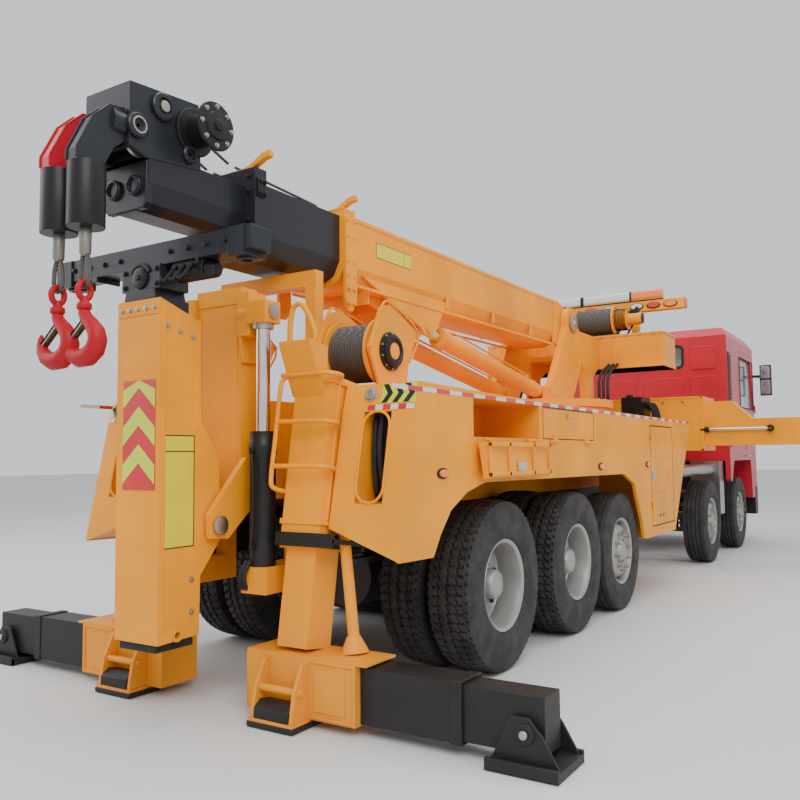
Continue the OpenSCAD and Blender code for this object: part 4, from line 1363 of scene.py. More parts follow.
@dataclass
class BoomHead(Assembly):
    """End plate, sheaves, pins and drum of the boom's tip."""

    plate_r: float = 0.175
    tip_f: float = -2.1

    def bosses(self) -> Shape:
        """Builds the pin bosses on both head plates."""
        shape = Shape()
        for f, z, radius in ((-2.185, 3.105, 0.066), (-2.02, 3.262, 0.075), (-1.83, 3.06, 0.05)):
            ringed = ((0.012, 0), (radius, 0), (radius, 0.018), (radius - 0.008, 0.026),
                (radius * 0.62, 0.026), (radius * 0.58, 0.014), (0.012, 0.014))
            shape.lathe((self.plate_r, f, z), RIGHT, ringed, 36)
        return shape.mirrored()

    def rings(self) -> Shape:
        """Builds the bright worn ring and pin of the lower boss."""
        ring = ((0.036, 0.014), (0.045, 0.014), (0.045, 0.03), (0.036, 0.03))
        shape = Shape().lathe((self.plate_r, -2.185, 3.105), RIGHT, ring, 36)
        shape.lathe((self.plate_r, -2.02, 3.262), RIGHT,
            ((0, 0.012), (0.032, 0.012), (0.03, 0.03), (0, 0.032)), 30)
        shape.lathe((0.118, -2.135, 3.055), RIGHT, washer(0.076, 0.09, 0.02), 44)
        return shape.mirrored()

    def drum(self) -> Shape:
        """Builds the flanged rope drum behind the plates."""
        spool = (
            (0.03, 0), (0.13, 0), (0.135, 0.005), (0.13, 0.014), (0.09, 0.016), (0.086, 0.15), (0.13, 0.155),
            (0.135, 0.16), (0.13, 0.17), (0.08, 0.172), (0.074, 0.184), (0.03, 0.188),
        )
        shape = Shape().lathe((self.plate_r + 0.003, -1.79, 3.2), RIGHT, spool, 48)
        shape.lathe((self.plate_r, -1.79, 3.2), RIGHT, ((0, 0), (0.032, 0), (0.03, 0.2), (0, 0.205)), 28)
        return shape.mirrored()

    def end_plate(self) -> Shape:
        """Builds the plate that closes the tip, with its two bosses."""
        shape = Shape().rear(self.tip_f - 0.01, self.tip_f + 0.03,
            [(-0.166, 2.73), (-0.14, 2.704), (0.14, 2.704), (0.166, 2.73), (0.166, 2.955), (-0.166, 2.955)])
        for r in (-0.08, 0.08):
            shape.lathe((r, self.tip_f - 0.008, 2.83), BACK,
                ((0, 0), (0.055, 0), (0.055, 0.02), (0.04, 0.028), (0.04, 0.012), (0, 0.012)), 30)
        return shape

    def build(self) -> None:
        """Builds the head."""
        self.piece("head_bosses", self.bosses(), "boom_tip", Finish.GREY)
        self.piece("head_rings", self.rings(), "boom_tip", Finish.ZINC)
        self.piece("head_drum", self.drum(), "boom_tip", Finish.BLACK)
        self.piece("tip_end_plate", self.end_plate(), "boom_tip", Finish.GREY, bevel=0.004)
        spots = ring_of((self.plate_r + 0.173, -1.79, 3.2), RIGHT, 0.108, 8)
        self.scattered("head_drum_bolts", bolt(), spots, "boom_tip", Finish.ZINC)


# --- underlift
@dataclass
class Underlift(Assembly):
    """Stickers, bands, pads and pins of the folded underlift and its mast."""

    side_r: float = 0.168
    sticker: tuple[Flat, Flat] = ((-0.112, 0.137), (1.234, 1.813))
    label: tuple[Flat, Flat] = ((-1.984, -1.764), (0.926, 1.522))

    def rear_face(self, z: float) -> float:
        """Gives the arm's rear face at a height."""
        return -2.005 - 0.005 * (z - 0.44) / (2.245 - 0.44)

    def chevron_sticker(self) -> None:
        """Builds the lime and red chevron sticker on the arm's rear face."""
        (r0, r1), (z0, z1) = self.sticker
        f = self.rear_face(z0) + 0.0015
        self.piece("arm_sticker", Shape().box(r0, r1, f - 0.006, f, z0, z1), "underlift_arm",
            Finish.TAPE_RED)
        marks, mid, rise = Shape(), (r0 + r1) / 2, 0.11
        for low in (0.0, 0.2, 0.4):
            a = z0 + 0.03 + low
            b = min(a + 0.1, z1)
            top = min(b + rise, z1)
            marks.rear(f - 0.008, f - 0.005, [(r0, a), (mid, a + rise), (r1, a), (r1, b), (mid, top),
                (r0, b)])
        self.piece("arm_chevrons", marks, "underlift_arm", Finish.TAPE_LIME)

    def side_label(self) -> None:
        """Builds the blank label with its thin border on the arm's right face."""
        (f0, f1), (z0, z1) = self.label
        r = self.side_r
        self.piece("arm_label", Shape().box(r - 0.001, r + 0.0012, f0, f1, z0, z1), "underlift_arm",
            Finish.LABEL)
        border = Shape()
        for a, b, c, d in (
            (f0, f1, z0, z0 + 0.006), (f0, f1, z1 - 0.006, z1), (f0, f0 + 0.006, z0, z1),
            (f1 - 0.006, f1, z0, z1),
            (f0, f1, z1 - 0.09, z1 - 0.084),
        ):
            border.box(r, r + 0.002, a, b, c, d)
        self.piece("arm_label_border", border, "underlift_arm", Finish.TAPE_BLACK)

    def arm(self) -> None:
        """Builds the arm's dark stage head, wear pads, seams, bolts and pins."""
        head = Shape().rear(-2.006, -1.794, [(-0.126, 2.246), (0.126, 2.246), (0.113, 2.304),
            (-0.113, 2.304)])
        head.box(-0.145, 0.145, -1.99, -1.79, 2.18, 2.25)
        self.piece("stage_head", head, "underlift_arm", Finish.GREY, bevel=0.004)
        pads = Shape().box(-0.141, 0.141, -1.993, -1.737, 0.396, 0.44)
        pads.box(-0.172, -0.12, -1.99, -1.93, 0.43, 0.56)
        self.piece("arm_feet", pads, "underlift_arm", Finish.HOSE, bevel=0.006)
        pins = Shape()
        for r in (-1, 1):
            pins.lathe((r * 0.238, -1.636, 1.029), (r, 0, 0),
                ((0, 0), (0.052, 0), (0.052, 0.012), (0.04, 0.018), (0, 0.018)), 32)
        self.piece("fold_pin_caps", pins, "underlift_arm", Finish.ZINC)
        boss = Shape().lathe((self.side_r, -1.878, 0.473), RIGHT, washer(0.02, 0.034, 0.01), 28).mirrored()
        self.piece("arm_foot_bosses", boss, "underlift_arm", Finish.YELLOW)
        strips = Shape()
        for f, z0, z1 in ((-1.745, 1.55, 2.12), (-1.98, 0.5, 2.2)):
            strips.box(self.side_r - 0.001, self.side_r + 0.004, f - 0.012, f + 0.012, z0, z1)
        strips.mirrored()
        strips.box(-0.16, 0.16, -2.0145, -2.006, 2.16, 2.225)
        self.piece("arm_welds", strips, "underlift_arm", Finish.YELLOW, bevel=0.002)
        spots = row((-0.13, -2.0145, 2.193), (0.13, -2.0145, 2.193), 5, BACK)
        spots += row((self.side_r, -1.96, 2.1), (self.side_r, -1.78, 2.06), 3, RIGHT)
        spots += row((self.side_r, -1.78, 0.75), (self.side_r, -1.78, 0.58), 2, RIGHT)
        self.scattered("arm_bolts", bolt(0.012, 0.01), spots, "underlift_arm", Finish.ZINC)

    def crossbar(self) -> None:
        """Builds the crossbar's swivel disc, keeper, fork bushes, valve and hoses."""
        disc = Shape().lathe((0, -2.0, 2.366), BACK, ((0, 0), (0.058, 0), (0.058, 0.012), (0.042, 0.018),
            (0.016, 0.018), (0.012, 0.03), (0, 0.03)), 36)
        disc.rear(-2.012, -1.999, [(r, z) for r, z in arc((0, 2.366), 0.085, 20, 160, 14) + arc((0, 2.366),
            0.066, 160, 20, 14)])
        self.piece("swivel_disc", disc, "crossbar", Finish.BLACK, bevel=0.002)
        bushes = Shape()
        for q in (-1, 1):
            bushes.lathe((q * 0.675, -1.9, 2.551), UP, washer(0.031, 0.055, 0.012), 32)
            bushes.lathe((q * 0.675, -1.9, 2.388), UP, washer(0.031, 0.05, 0.013), 32)
            bushes.box(min(q * 0.772, q * 0.764), max(q * 0.772, q * 0.764), -1.97, -1.83, 2.434, 2.545)
            bushes.side(q * 0.4 - 0.006, q * 0.4 + 0.006,
                [(-1.98, 2.43), (-1.82, 2.43), (-1.82, 2.4), (-1.98, 2.4)])
        self.piece("fork_bushes", bushes, "crossbar", Finish.GREY, bevel=0.002)
        valve = Shape().box(0.2, 0.42, -1.96, -1.84, 2.35, 2.43)
        valve.lathe((0.2, -1.9, 2.375), RIGHT, ((0, 0), (0.045, 0), (0.045, 0.26), (0.03, 0.28),
            (0, 0.28)), 28)
        for r in (0.24, 0.3, 0.36):
            valve.lathe((r, -1.965, 2.395), BACK, puck(0.014, 0.024), 14)
        self.piece("crossbar_valve", valve, "crossbar", Finish.BLACK, bevel=0.003)
        hoses = Shape()
        for r in (0.24, 0.3, 0.36):
            path = [(r - 0.1 * t, -1.985 - 0.02 * math.sin(t * math.pi),
                2.395 - 0.05 * math.sin(t * math.pi) - 0.03 * t) for t in (i / 10 for i in range(11))]
            hoses.sweep(path, 0.008, 10)
        self.piece("crossbar_hoses", hoses, "crossbar", Finish.HOSE)
        spots = row((-0.6, -1.976, 2.49), (-0.2, -1.976, 2.49), 4, BACK) + row((0.2, -1.976, 2.49),
            (0.6, -1.976, 2.49), 4, BACK)
        spots += [((r, -2.0, z), BACK) for r in (-0.125, 0.125) for z in (2.325, 2.405)]
        self.scattered("crossbar_bolts", bolt(0.013, 0.011), spots, "crossbar", Finish.BLACK)

    def mast(self) -> None:
        """Builds the mast's bracket blocks, edge strips and pin caps."""
        block = Shape()
        for a, b, c, d, e, g in ((0.178, 0.27, -1.45, -1.3, 2.1, 2.36),
                (0.26, 0.41, -1.465, -1.335, 2.165, 2.295)):
            block.box(a, b, c, d, e, g)
        block.side(0.181, 0.2, ((-1.42, 1.95), (-1.29, 1.95), (-1.29, 2.12), (-1.45, 2.12)))
        self.piece("rod_brackets", block.mirrored(), "underlift_mast", Finish.YELLOW, bevel=0.005)
        caps = Shape().lathe((0.41, -1.4, 2.23), RIGHT, ((0, 0), (0.042, 0), (0.042, 0.012), (0, 0.016)), 28)
        caps.lathe((0.335, -1.4, 2.165), DOWN, washer(0.039, 0.06, 0.03), 28)
        self.piece("rod_caps", caps.mirrored(), "underlift_mast", Finish.ZINC)
        rods = Shape().rod((0.335, -1.4, 1.26), (0.335, -1.4, 2.2), 0.0412, 32)
        self.piece("mast_rods", rods.mirrored(), "underlift_mast", Finish.CHROME)
        rails = Shape()
        for r in (0.15, 0.172):
            rails.box(r - 0.006, r + 0.006, -1.4245, -1.419, 1.2, 2.38)
        rails.mirrored().box(-0.17, 0.17, -1.427, -1.419, 2.3, 2.38)
        self.piece("mast_wear_strips", rails, "underlift_mast", Finish.YELLOW, bevel=0.001)

    def barrels(self) -> None:
        """Builds the black lift barrels with their glands, ports and hoses."""
        barrel = Shape().lathe(
            (0.335, -1.4, 0.79), UP,
            ((0.046, 0), (0.0735, 0), (0.0735, 0.62), (0.08, 0.63), (0.08, 0.69), (0.0735, 0.7),
            (0.0735, 0.757), (0.046, 0.757)), 40,
        )
        barrel.rod((0.335, -1.475, 0.9), (0.335, -1.5, 0.9), 0.016, 14).rod((0.335, -1.475, 1.44),
            (0.335, -1.5, 1.44), 0.016, 14)
        pipe = [(0.335, -1.5, 0.9), (0.35, -1.512, 0.93), (0.36, -1.512, 1.0), (0.36, -1.51, 1.2),
            (0.355, -1.51, 1.36), (0.335, -1.5, 1.42)]
        barrel.sweep(pipe, 0.009, 10)
        self.piece("mast_barrels", barrel.mirrored(), TRUCK, Finish.BLACK)
        hoses = Shape()
        for r in (0.28, 0.305):
            path = [(r, -1.47, 0.82), (r - 0.02, -1.5, 0.74), (r - 0.03, -1.46, 0.66),
                (r - 0.02, -1.36, 0.62), (r, -1.24, 0.64), (r, -1.1, 0.7), (r, -1.03, 0.82)]
            hoses.hose(path, 0.013)
        self.piece("mast_hoses", hoses.mirrored(), TRUCK, Finish.HOSE)

    def build(self) -> None:
        """Builds the whole underlift."""
        self.chevron_sticker()
        self.side_label()
        self.arm()
        self.crossbar()
        self.mast()
        self.barrels()


def smoothed(path: Sequence[Point], cuts: int) -> list[Point]:
    """Rounds a path with a Catmull-Rom curve.

    Args:
        path: its corner points.
        cuts: stretches between two of them.

    Returns:
        The finer path.
    """
    ends = [Vector(path[0])] + [Vector(p) for p in path] + [Vector(path[-1])]
    fine = []
    for a, b, c, d in zip(ends, ends[1:], ends[2:], ends[3:]):
        for k in range(cuts):
            t = k / cuts
            square, cube = 2 * a - 5 * b + 4 * c - d, 3 * b - a - 3 * c + d
            fine.append(tuple(0.5 * (2 * b + (c - a) * t + square * t * t + cube * t**3)))
    return fine + [tuple(path[-1])]


# --- leg towers and outriggers
@dataclass
class LegTower(SideAssembly):
    """A rear leg's housing furniture, outrigger box and foot, on one side."""

    lean: float = -9.0
    rear_f: float = -1.5205

    def leaned(self, shape: Shape) -> Shape:
        """Leans a shape with the tower and moves it to this side."""
        return shape.turned((0, -1.39, 0.345), RIGHT, self.lean).flipped(self.q)

    def ladder(self) -> Shape:
        """Builds the climbing bar with its rungs that wrap round the housing."""
        f = self.rear_f - 0.075
        bar = smoothed([(0.47, self.rear_f + 0.01, 1.2), (0.45, f + 0.02, 1.21), (0.44, f, 1.26),
            (0.44, f, 1.5), (0.44, f, 1.78), (0.45, f + 0.01, 1.83), (0.5, f, 1.85)], 4)
        shape = Shape().sweep(bar, 0.0135, 12)
        for z in (1.33, 1.58, 1.85):
            path = [(0.44, f, z), (0.55, f, z), (0.68, f, z), (0.76, f + 0.01, z), (0.795, f + 0.05, z),
                (0.795, self.rear_f + 0.02, z), (0.745, self.rear_f + 0.07, z)]
            shape.hose(path, 0.0135, 4)
        return shape

    def grab_loop(self) -> Shape:
        """Builds the triangular grab loop on its sloping bracket above the housing."""
        shape = Shape().side(0.47, 0.7, ((-1.3, 1.74), (-1.268, 1.84), (-1.264, 2.02), (-1.42, 2.05),
            (-1.42, 2.02)))
        path = [(0.5, -1.36, 2.03), (0.505, -1.36, 2.16), (0.53, -1.36, 2.25), (0.59, -1.36, 2.255),
            (0.65, -1.36, 2.17), (0.685, -1.36, 2.07), (0.66, -1.36, 2.03)]
        return shape.hose(path, 0.016).flipped(self.q)

    def band(self) -> Shape:
        """Builds the bolted clamp band round the housing's lower end."""
        shape = Shape()
        for a, b, c, d in ((0.468, 0.487, -1.54, -1.24), (0.753, 0.775, -1.54, -1.24),
                (0.468, 0.86, -1.545, -1.52), (0.468, 0.86, -1.26, -1.235)):
            shape.box(a, b, c, d, 0.9, 0.975)
        return shape.box(0.772, 0.86, -1.54, -1.24, 0.925, 0.95)

    def collars(self) -> Shape:
        """Builds the housing's raised rims and side ribs."""
        shape = Shape()
        for z0, z1, out in ((1.81, 1.85, 0.012), (1.02, 1.05, 0.01)):
            for a, b, c, d in (
                (0.4875 - out, 0.489, self.rear_f - out, -1.2595 + out),
                (0.751, 0.7525 + out, self.rear_f - out, -1.2595 + out),
                (0.489, 0.751, self.rear_f - out, self.rear_f + 0.001),
                (0.489, 0.751, -1.261, -1.2595 + out),
            ):
                shape.box(a, b, c, d, z0, z1)
        for f in (-1.47, -1.31):
            shape.side(0.752, 0.766, ((f - 0.008, 1.05), (f + 0.008, 1.05), (f + 0.008, 1.81),
                (f - 0.008, 1.81)))
        return shape

    def guide_rod(self) -> tuple[Shape, Shape]:
        """Builds the round strut beside the leg and its cone foot."""
        top, low = (0.81, -1.275, 1.02), (0.92, -1.33, 0.4)
        rod = Shape().rod(low, top, 0.031, 24)
        foot = Shape().lathe((0.925, -1.333, 0.36), (-0.16, 0.08, 1),
            ((0, 0), (0.075, 0), (0.07, 0.02), (0.036, 0.09), (0, 0.09)), 32)
        return rod.flipped(self.q), foot.flipped(self.q)

    def box_details(self) -> tuple[Shape, Shape, Shape]:
        """Builds the outrigger box's ears, its cross rod and its black foot block."""
        ears = Shape()
        for r in (0.475, 0.735):
            ears.side(r, r + 0.022, ((-1.525, 0.335), (-1.56, 0.33), (-1.625, 0.2), (-1.65, 0.06),
                (-1.65, 0.046), (-1.525, 0.046)))
        ears.box(0.8, 1.0, -1.531, -1.525, 0.09, 0.31).box(0.338, 0.342, -1.53, -1.25, 0.05, 0.345)
        for z in (0.055, 0.335):
            ears.box(0.78, 1.062, -1.535, -1.525, z, z + 0.014)
        ears.box(1.05, 1.066, -1.536, -1.245, 0.05, 0.352)
        rod = Shape().rod((0.46, -1.59, 0.19), (0.772, -1.59, 0.19), 0.02, 20)
        block = Shape().side(0.5, 0.732, ((-1.655, 0.012), (-1.5, 0.012), (-1.52, 0.12), (-1.6, 0.135),
            (-1.655, 0.1)))
        block.box(0.46, 0.77, -1.665, -1.39, 0.0, 0.03)
        return ears.flipped(self.q), rod.flipped(self.q), block.flipped(self.q)

    def beam_details(self) -> None:
        """Builds the beam's end frame and the foot's gussets, pin and plate lip."""
        (a, _, _), (b, _, _) = Datum.extent(f"rear_beam_{self.side}")
        end = max(abs(a), abs(b))
        collar = Shape()
        for f0, f1, z0, z1 in ((-1.49, -1.28, 0.334, 0.345), (-1.49, -1.28, 0.051, 0.06),
                (-1.4925, -1.486, 0.055, 0.341), (-1.284, -1.2775, 0.055, 0.341)):
            collar.box(end - 0.06, end + 0.004, f0, f1, z0, z1)
        body = f"rear_beam_{self.side}"
        self.fit("beam_collar", collar, body, Finish.BLACK, bevel=0.003)
        foot = Shape()
        for f0, f1 in ((-1.512, -1.497), (-1.273, -1.258)):
            foot.rear(f0, f1, ((1.8, 0.035), (2.13, 0.035), (2.05, 0.17), (1.99, 0.24), (1.9, 0.24),
                (1.84, 0.12)))
        foot.box(1.79, 2.14, -1.562, -1.54, 0.0, 0.055).box(1.79, 2.14, -1.26, -1.238, 0.0, 0.055)
        foot.lathe((1.97, -1.525, 0.17), AHEAD, washer(0.02, 0.045, 0.28), 28)
        body = f"rear_foot_{self.side}"
        self.fit("foot_gussets", foot, body, Finish.BLACK, bevel=0.003)
        pin = Shape().rod((1.97, -1.54, 0.17), (1.97, -1.23, 0.17), 0.02, 20)
        self.fit("foot_pin", pin, body, Finish.ZINC)

    def build(self) -> None:
        """Builds this side."""
        side = self.side
        leg = f"rear_leg_{side}"
        self.piece(f"leg_ladder_{side}", self.leaned(self.ladder()), TRUCK, Finish.YELLOW, smooth=60)
        self.piece(f"grab_loop_{side}", self.grab_loop(), TRUCK, Finish.YELLOW, bevel=0.004, smooth=60)
        self.piece(f"leg_band_{side}", self.leaned(self.band()), TRUCK, Finish.BLACK, bevel=0.003)
        self.piece(f"leg_collars_{side}", self.leaned(self.collars()), TRUCK, Finish.YELLOW, bevel=0.002)
        rod, foot = self.guide_rod()
        self.piece(f"guide_rod_{side}", rod, leg, Finish.YELLOW)
        self.piece(f"guide_rod_foot_{side}", foot, leg, Finish.YELLOW)
        ears, cross, block = self.box_details()
        self.piece(f"box_ears_{side}", ears, leg, Finish.YELLOW, bevel=0.003)
        self.piece(f"box_rod_{side}", cross, leg, Finish.YELLOW)
        self.piece(f"box_foot_{side}", block, leg, Finish.BLACK, bevel=0.005)
        self.beam_details()
        spots = [((self.q * 0.82, f + 0.09, 0.95 + 0.01), UP) for f in (-1.49, -1.29)]
        self.scattered(f"leg_band_bolts_{side}", bolt(0.016, 0.014), spots, TRUCK, Finish.ZINC)


# --- boom and turret
@dataclass
class BoomTube(Assembly):
    """Label, rope guides, pads, seams and ropes of the telescopic boom."""

    base_r: float = 0.27
    mouth_f: float = -0.49
    middle_f: float = -1.35

    def base(self) -> None:
        """Builds the base section's blank label, edge strips, ribs and guide horns."""
        label = ((-0.136, 0.339), (2.822, 2.934))
        for side, q in SIDES.items():
            plate = Shape().side(self.base_r - 0.001, self.base_r + 0.0012,
                rounded(*label[0], *label[1], 0.012)).flipped(q)
            self.piece(f"boom_label_{side}", plate, "boom_base", Finish.LABEL)
            border = Shape()
            (f0, f1), (z0, z1) = label
            for a, b, c, d in ((f0, f1, z0, z0 + 0.004), (f0, f1, z1 - 0.004, z1), (f0, f0 + 0.004, z0, z1),
                    (f1 - 0.1, f1 - 0.096, z0, z1)):
                border.box(self.base_r, self.base_r + 0.002, a, b, c, d)
            self.piece(f"boom_label_border_{side}", border.flipped(q), "boom_base", Finish.TAPE_BLACK)
        strips = Shape()
        for z in (2.575, 3.03):
            strips.box(self.base_r - 0.001, self.base_r + 0.005, -0.42, 3.2, z - 0.012, z + 0.012)
        for f in (0.9, 1.75, 2.6):
            strips.side(self.base_r - 0.001, self.base_r + 0.009,
                ((f - 0.03, 2.6), (f + 0.03, 2.6), (f + 0.02, 2.72), (f - 0.02, 2.72)))
        strips.mirrored()
        for f in (-0.54, -0.44):
            strips.box(-0.29, 0.29, f - 0.012, f + 0.012, 3.07, 3.083)
        self.piece("boom_edge_strips", strips, "boom_base", Finish.YELLOW, bevel=0.002)
        self.piece("base_horns", self.horns(self.mouth_f, 3.07), "boom_base", Finish.YELLOW, smooth=60)
        spots = [((q * 0.296, f, z), (q, 0, 0)) for q in (1, -1) for f in (-0.53, -0.45)
            for z in (2.62, 2.72, 2.89, 3.0)]
        spots += [((q * 0.305, f, z), (q, 0, 0)) for q in (1, -1) for f in (-0.52, -0.46)
            for z in (2.43, 2.53)]
        self.scattered("base_collar_bolts", bolt(0.014, 0.012), spots, "boom_base", Finish.YELLOW)

    @staticmethod
    def horns(f: float, z: float) -> Shape:
        """Builds a pair of rope guide horns that stand on a collar.

        Args:
            f: the collar's place.
            z: its top.

        Returns:
            Both horns.
        """
        shape = Shape().rear(f - 0.02, f + 0.02, ((0.06, z), (0.2, z + 0.035), (0.29, z + 0.085),
            (0.35, z + 0.095), (0.35, z + 0.06), (0.3, z + 0.05), (0.2, z + 0.005)))
        shape.box(0.05, 0.2, f - 0.04, f + 0.04, z - 0.006, z + 0.008)
        return shape.mirrored()

    def middle(self) -> None:
        """Builds the middle section's collar pads, bolts and horns."""
        pads = Shape()
        for z in (2.6, 2.94):
            pads.box(0.266, 0.282, self.middle_f - 0.035, self.middle_f + 0.035, z, z + 0.11)
        pads.mirrored()
        pads.box(-0.15, 0.15, self.middle_f - 0.03, self.middle_f + 0.03, 3.108, 3.12)
        self.piece("middle_collar_pads", pads, "boom_middle", Finish.BLACK, bevel=0.003)
        spots = [((q * 0.282, self.middle_f + f, z), (q, 0, 0)) for q in (1, -1) for f in (-0.02, 0.02)
            for z in (2.62, 2.69, 2.96, 3.03)]
        spots += [((r, -1.4015, z), BACK) for r in (-0.22, 0.22) for z in (2.63, 2.8, 2.97, 3.06)]
        self.scattered("middle_collar_bolts", bolt(0.012, 0.011), spots, "boom_middle", Finish.BLACK)
        self.piece("middle_horns", self.horns(self.middle_f, 3.11), "boom_middle", Finish.YELLOW, smooth=60)

    def ropes(self) -> None:
        """Lays the two hoist ropes along the boom, one stretch for each section."""
        runs = {
            "turret": ((4.42, 3.118), (4.2, 3.113), (3.98, 3.108)),
            "boom_base": ((3.3, 3.1), (1.5, 3.1), (-0.53, 3.1)),
            "boom_middle": ((-0.6, 3.112), (-1.0, 3.13), (-1.38, 3.145)),
            "boom_tip": ((-1.44, 3.15), (-1.6, 3.21), (-1.76, 3.285), (-1.84, 3.314)),
        }
        for body, line in runs.items():
            rope = Shape()
            for r in (-0.09, 0.09):
                rope.sweep(smoothed([(r, f, z) for f, z in line], 4), 0.009, 12)
            self.piece(f"hoist_ropes_{body}", rope, body, Finish.ROPE)

    def cylinders(self) -> None:
        """Builds the lift cylinders' gland rings, ports and pipes."""
        line = Vector((0, 0.593 - 2.93, 2.41 - 2.05)).normalized()
        base = Vector((0.2, 2.93, 2.05))
        up = Vector((0, line.z, -line.y))
        shape = Shape()
        for start, end in ((0.2, 0.235), (1.99, 2.1)):
            shape.lathe(tuple(base), tuple(line), ((0.07, start), (0.083, start + 0.004),
                (0.083, end - 0.004), (0.07, end)), 44)
        for along in (0.32, 1.9):
            spot = base + line * along + up * 0.075
            shape.rod(tuple(spot), tuple(spot + up * 0.03), 0.018, 16)
        path = [base + line * a + up * h for a, h in ((0.32, 0.1), (0.4, 0.112), (1.1, 0.112), (1.8, 0.112),
            (1.9, 0.1))]
        shape.sweep([tuple(p) for p in path], 0.009, 10)
        self.piece("lift_glands", shape.mirrored(), "lift_cylinders", Finish.YELLOW)

    def build(self) -> None:
        """Builds the boom's furniture."""
        self.base()
        self.middle()
        self.ropes()
        self.cylinders()


@dataclass
class Winches(Assembly):
    """Rope layers, motors and bolts of the hoist and drag winches."""

    @staticmethod
    def wound(centre: Point, width: float, radius: float, rope: float) -> Shape:
        """Builds a layer of rope wound on a drum.

        Args:
            centre: the layer's low end on the axis.
            width: its length along the axis.
            radius: radius over the rope.
            rope: the rope's diameter.

        Returns:
            The layer.
        """
        turns = int(width / rope)
        profile: list[Flat] = [(0.05, 0.0)]
        for k in range(turns):
            profile += [(radius - rope * 0.45, k * rope), (radius - rope * 0.1, (k + 0.22) * rope),
                (radius, (k + 0.5) * rope), (radius - rope * 0.1, (k + 0.78) * rope)]
        profile += [(radius - rope * 0.45, turns * rope), (0.05, turns * rope)]
        return Shape().lathe(centre, RIGHT, profile, 48)

    def hoists(self) -> None:
        """Builds the turret's two hoist winches."""
        rope = self.wound((0.112, 4.48, 2.975), 0.426, 0.15, 0.018).mirrored()
        self.piece("hoist_rope_layers", rope, "turret", Finish.ROPE, smooth=60)
        motor = Shape()
        for k in range(8):
            a = 0.565 + k * 0.0165
            motor.lathe((a, 4.48, 2.975), RIGHT, washer(0.1, 0.129, 0.008), 44)
        motor.lathe((0.858, 4.48, 2.975), RIGHT, ((0, 0), (0.06, 0), (0.055, 0.012), (0.02, 0.016),
            (0, 0.016)), 30)
        motor.box(0.72, 0.82, 4.44, 4.52, 3.03, 3.075)
        motor.box(0.1, 0.56, 4.44, 4.52, 2.79, 2.86)
        self.piece("hoist_motors", motor.mirrored(), "turret", Finish.BLACK, bevel=0.002)
        spots = [s for q in (1, -1) for s in ring_of((q * 0.561, 4.48, 2.975), (q, 0, 0), 0.15, 12)]
        self.scattered("hoist_flange_bolts", bolt(), spots, "turret", Finish.ZINC)
        hoses = Shape()
        for k, z in enumerate((3.07, 3.05)):
            path = [(0.76 + 0.03 * k, 4.5, z), (0.78 + 0.03 * k, 4.56, z + 0.05), (0.74, 4.66, z - 0.02),
                (0.66, 4.72, 2.92), (0.6, 4.7, 2.81)]
            hoses.hose(path, 0.013)
        self.piece("hoist_hoses", hoses.mirrored(), "turret", Finish.HOSE)

    def drags(self) -> None:
        """Builds the deck's two drag winches."""
        rope = self.wound((0.462, -0.777, 2.035), 0.276, 0.182, 0.02).mirrored()
        self.piece("drag_rope_layers", rope, TRUCK, Finish.ROPE, smooth=60)
        hub = Shape().lathe(
            (0.8, -0.777, 2.035), RIGHT,
            ((0.05, 0), (0.118, 0), (0.118, 0.012), (0.1, 0.018), (0.098, 0.036), (0.075, 0.042),
            (0.07, 0.034), (0.05, 0.034)), 48,
        )
        self.piece("drag_hubs", hub.mirrored(), TRUCK, Finish.BLACK)
        cores = Shape().lathe((0.8, -0.777, 2.035), RIGHT,
            ((0, 0.02), (0.052, 0.02), (0.05, 0.037), (0, 0.04)), 36)
        self.piece("drag_hub_caps", cores.mirrored(), TRUCK, Finish.YELLOW)
        spots = [s for q in (1, -1) for s in ring_of((q * 0.818, -0.777, 2.035), (q, 0, 0), 0.087, 12)]
        spots += [s for q in (1, -1) for s in ring_of((q * 0.812, -0.777, 2.035), (q, 0, 0), 0.108, 10, 9)]
        self.scattered("drag_hub_bolts", bolt(0.007, 0.007), spots, TRUCK, Finish.ZINC)
        rim = Shape()
        line = [(-1.0, 2.04), (-0.87, 2.3), (-0.76, 2.33), (-0.45, 2.19), (-0.56, 1.99)]
        for r in (0.4, 0.8):
            rim.sweep(smoothed([(r + (0.004 if r > 0.5 else -0.004), f, z) for f, z in line], 3), 0.008, 8)
        rim.mirrored()
        self.piece("drag_plate_rims", rim, TRUCK, Finish.YELLOW)

    def build(self) -> None:
        """Builds all four."""
        self.hoists()
        self.drags()


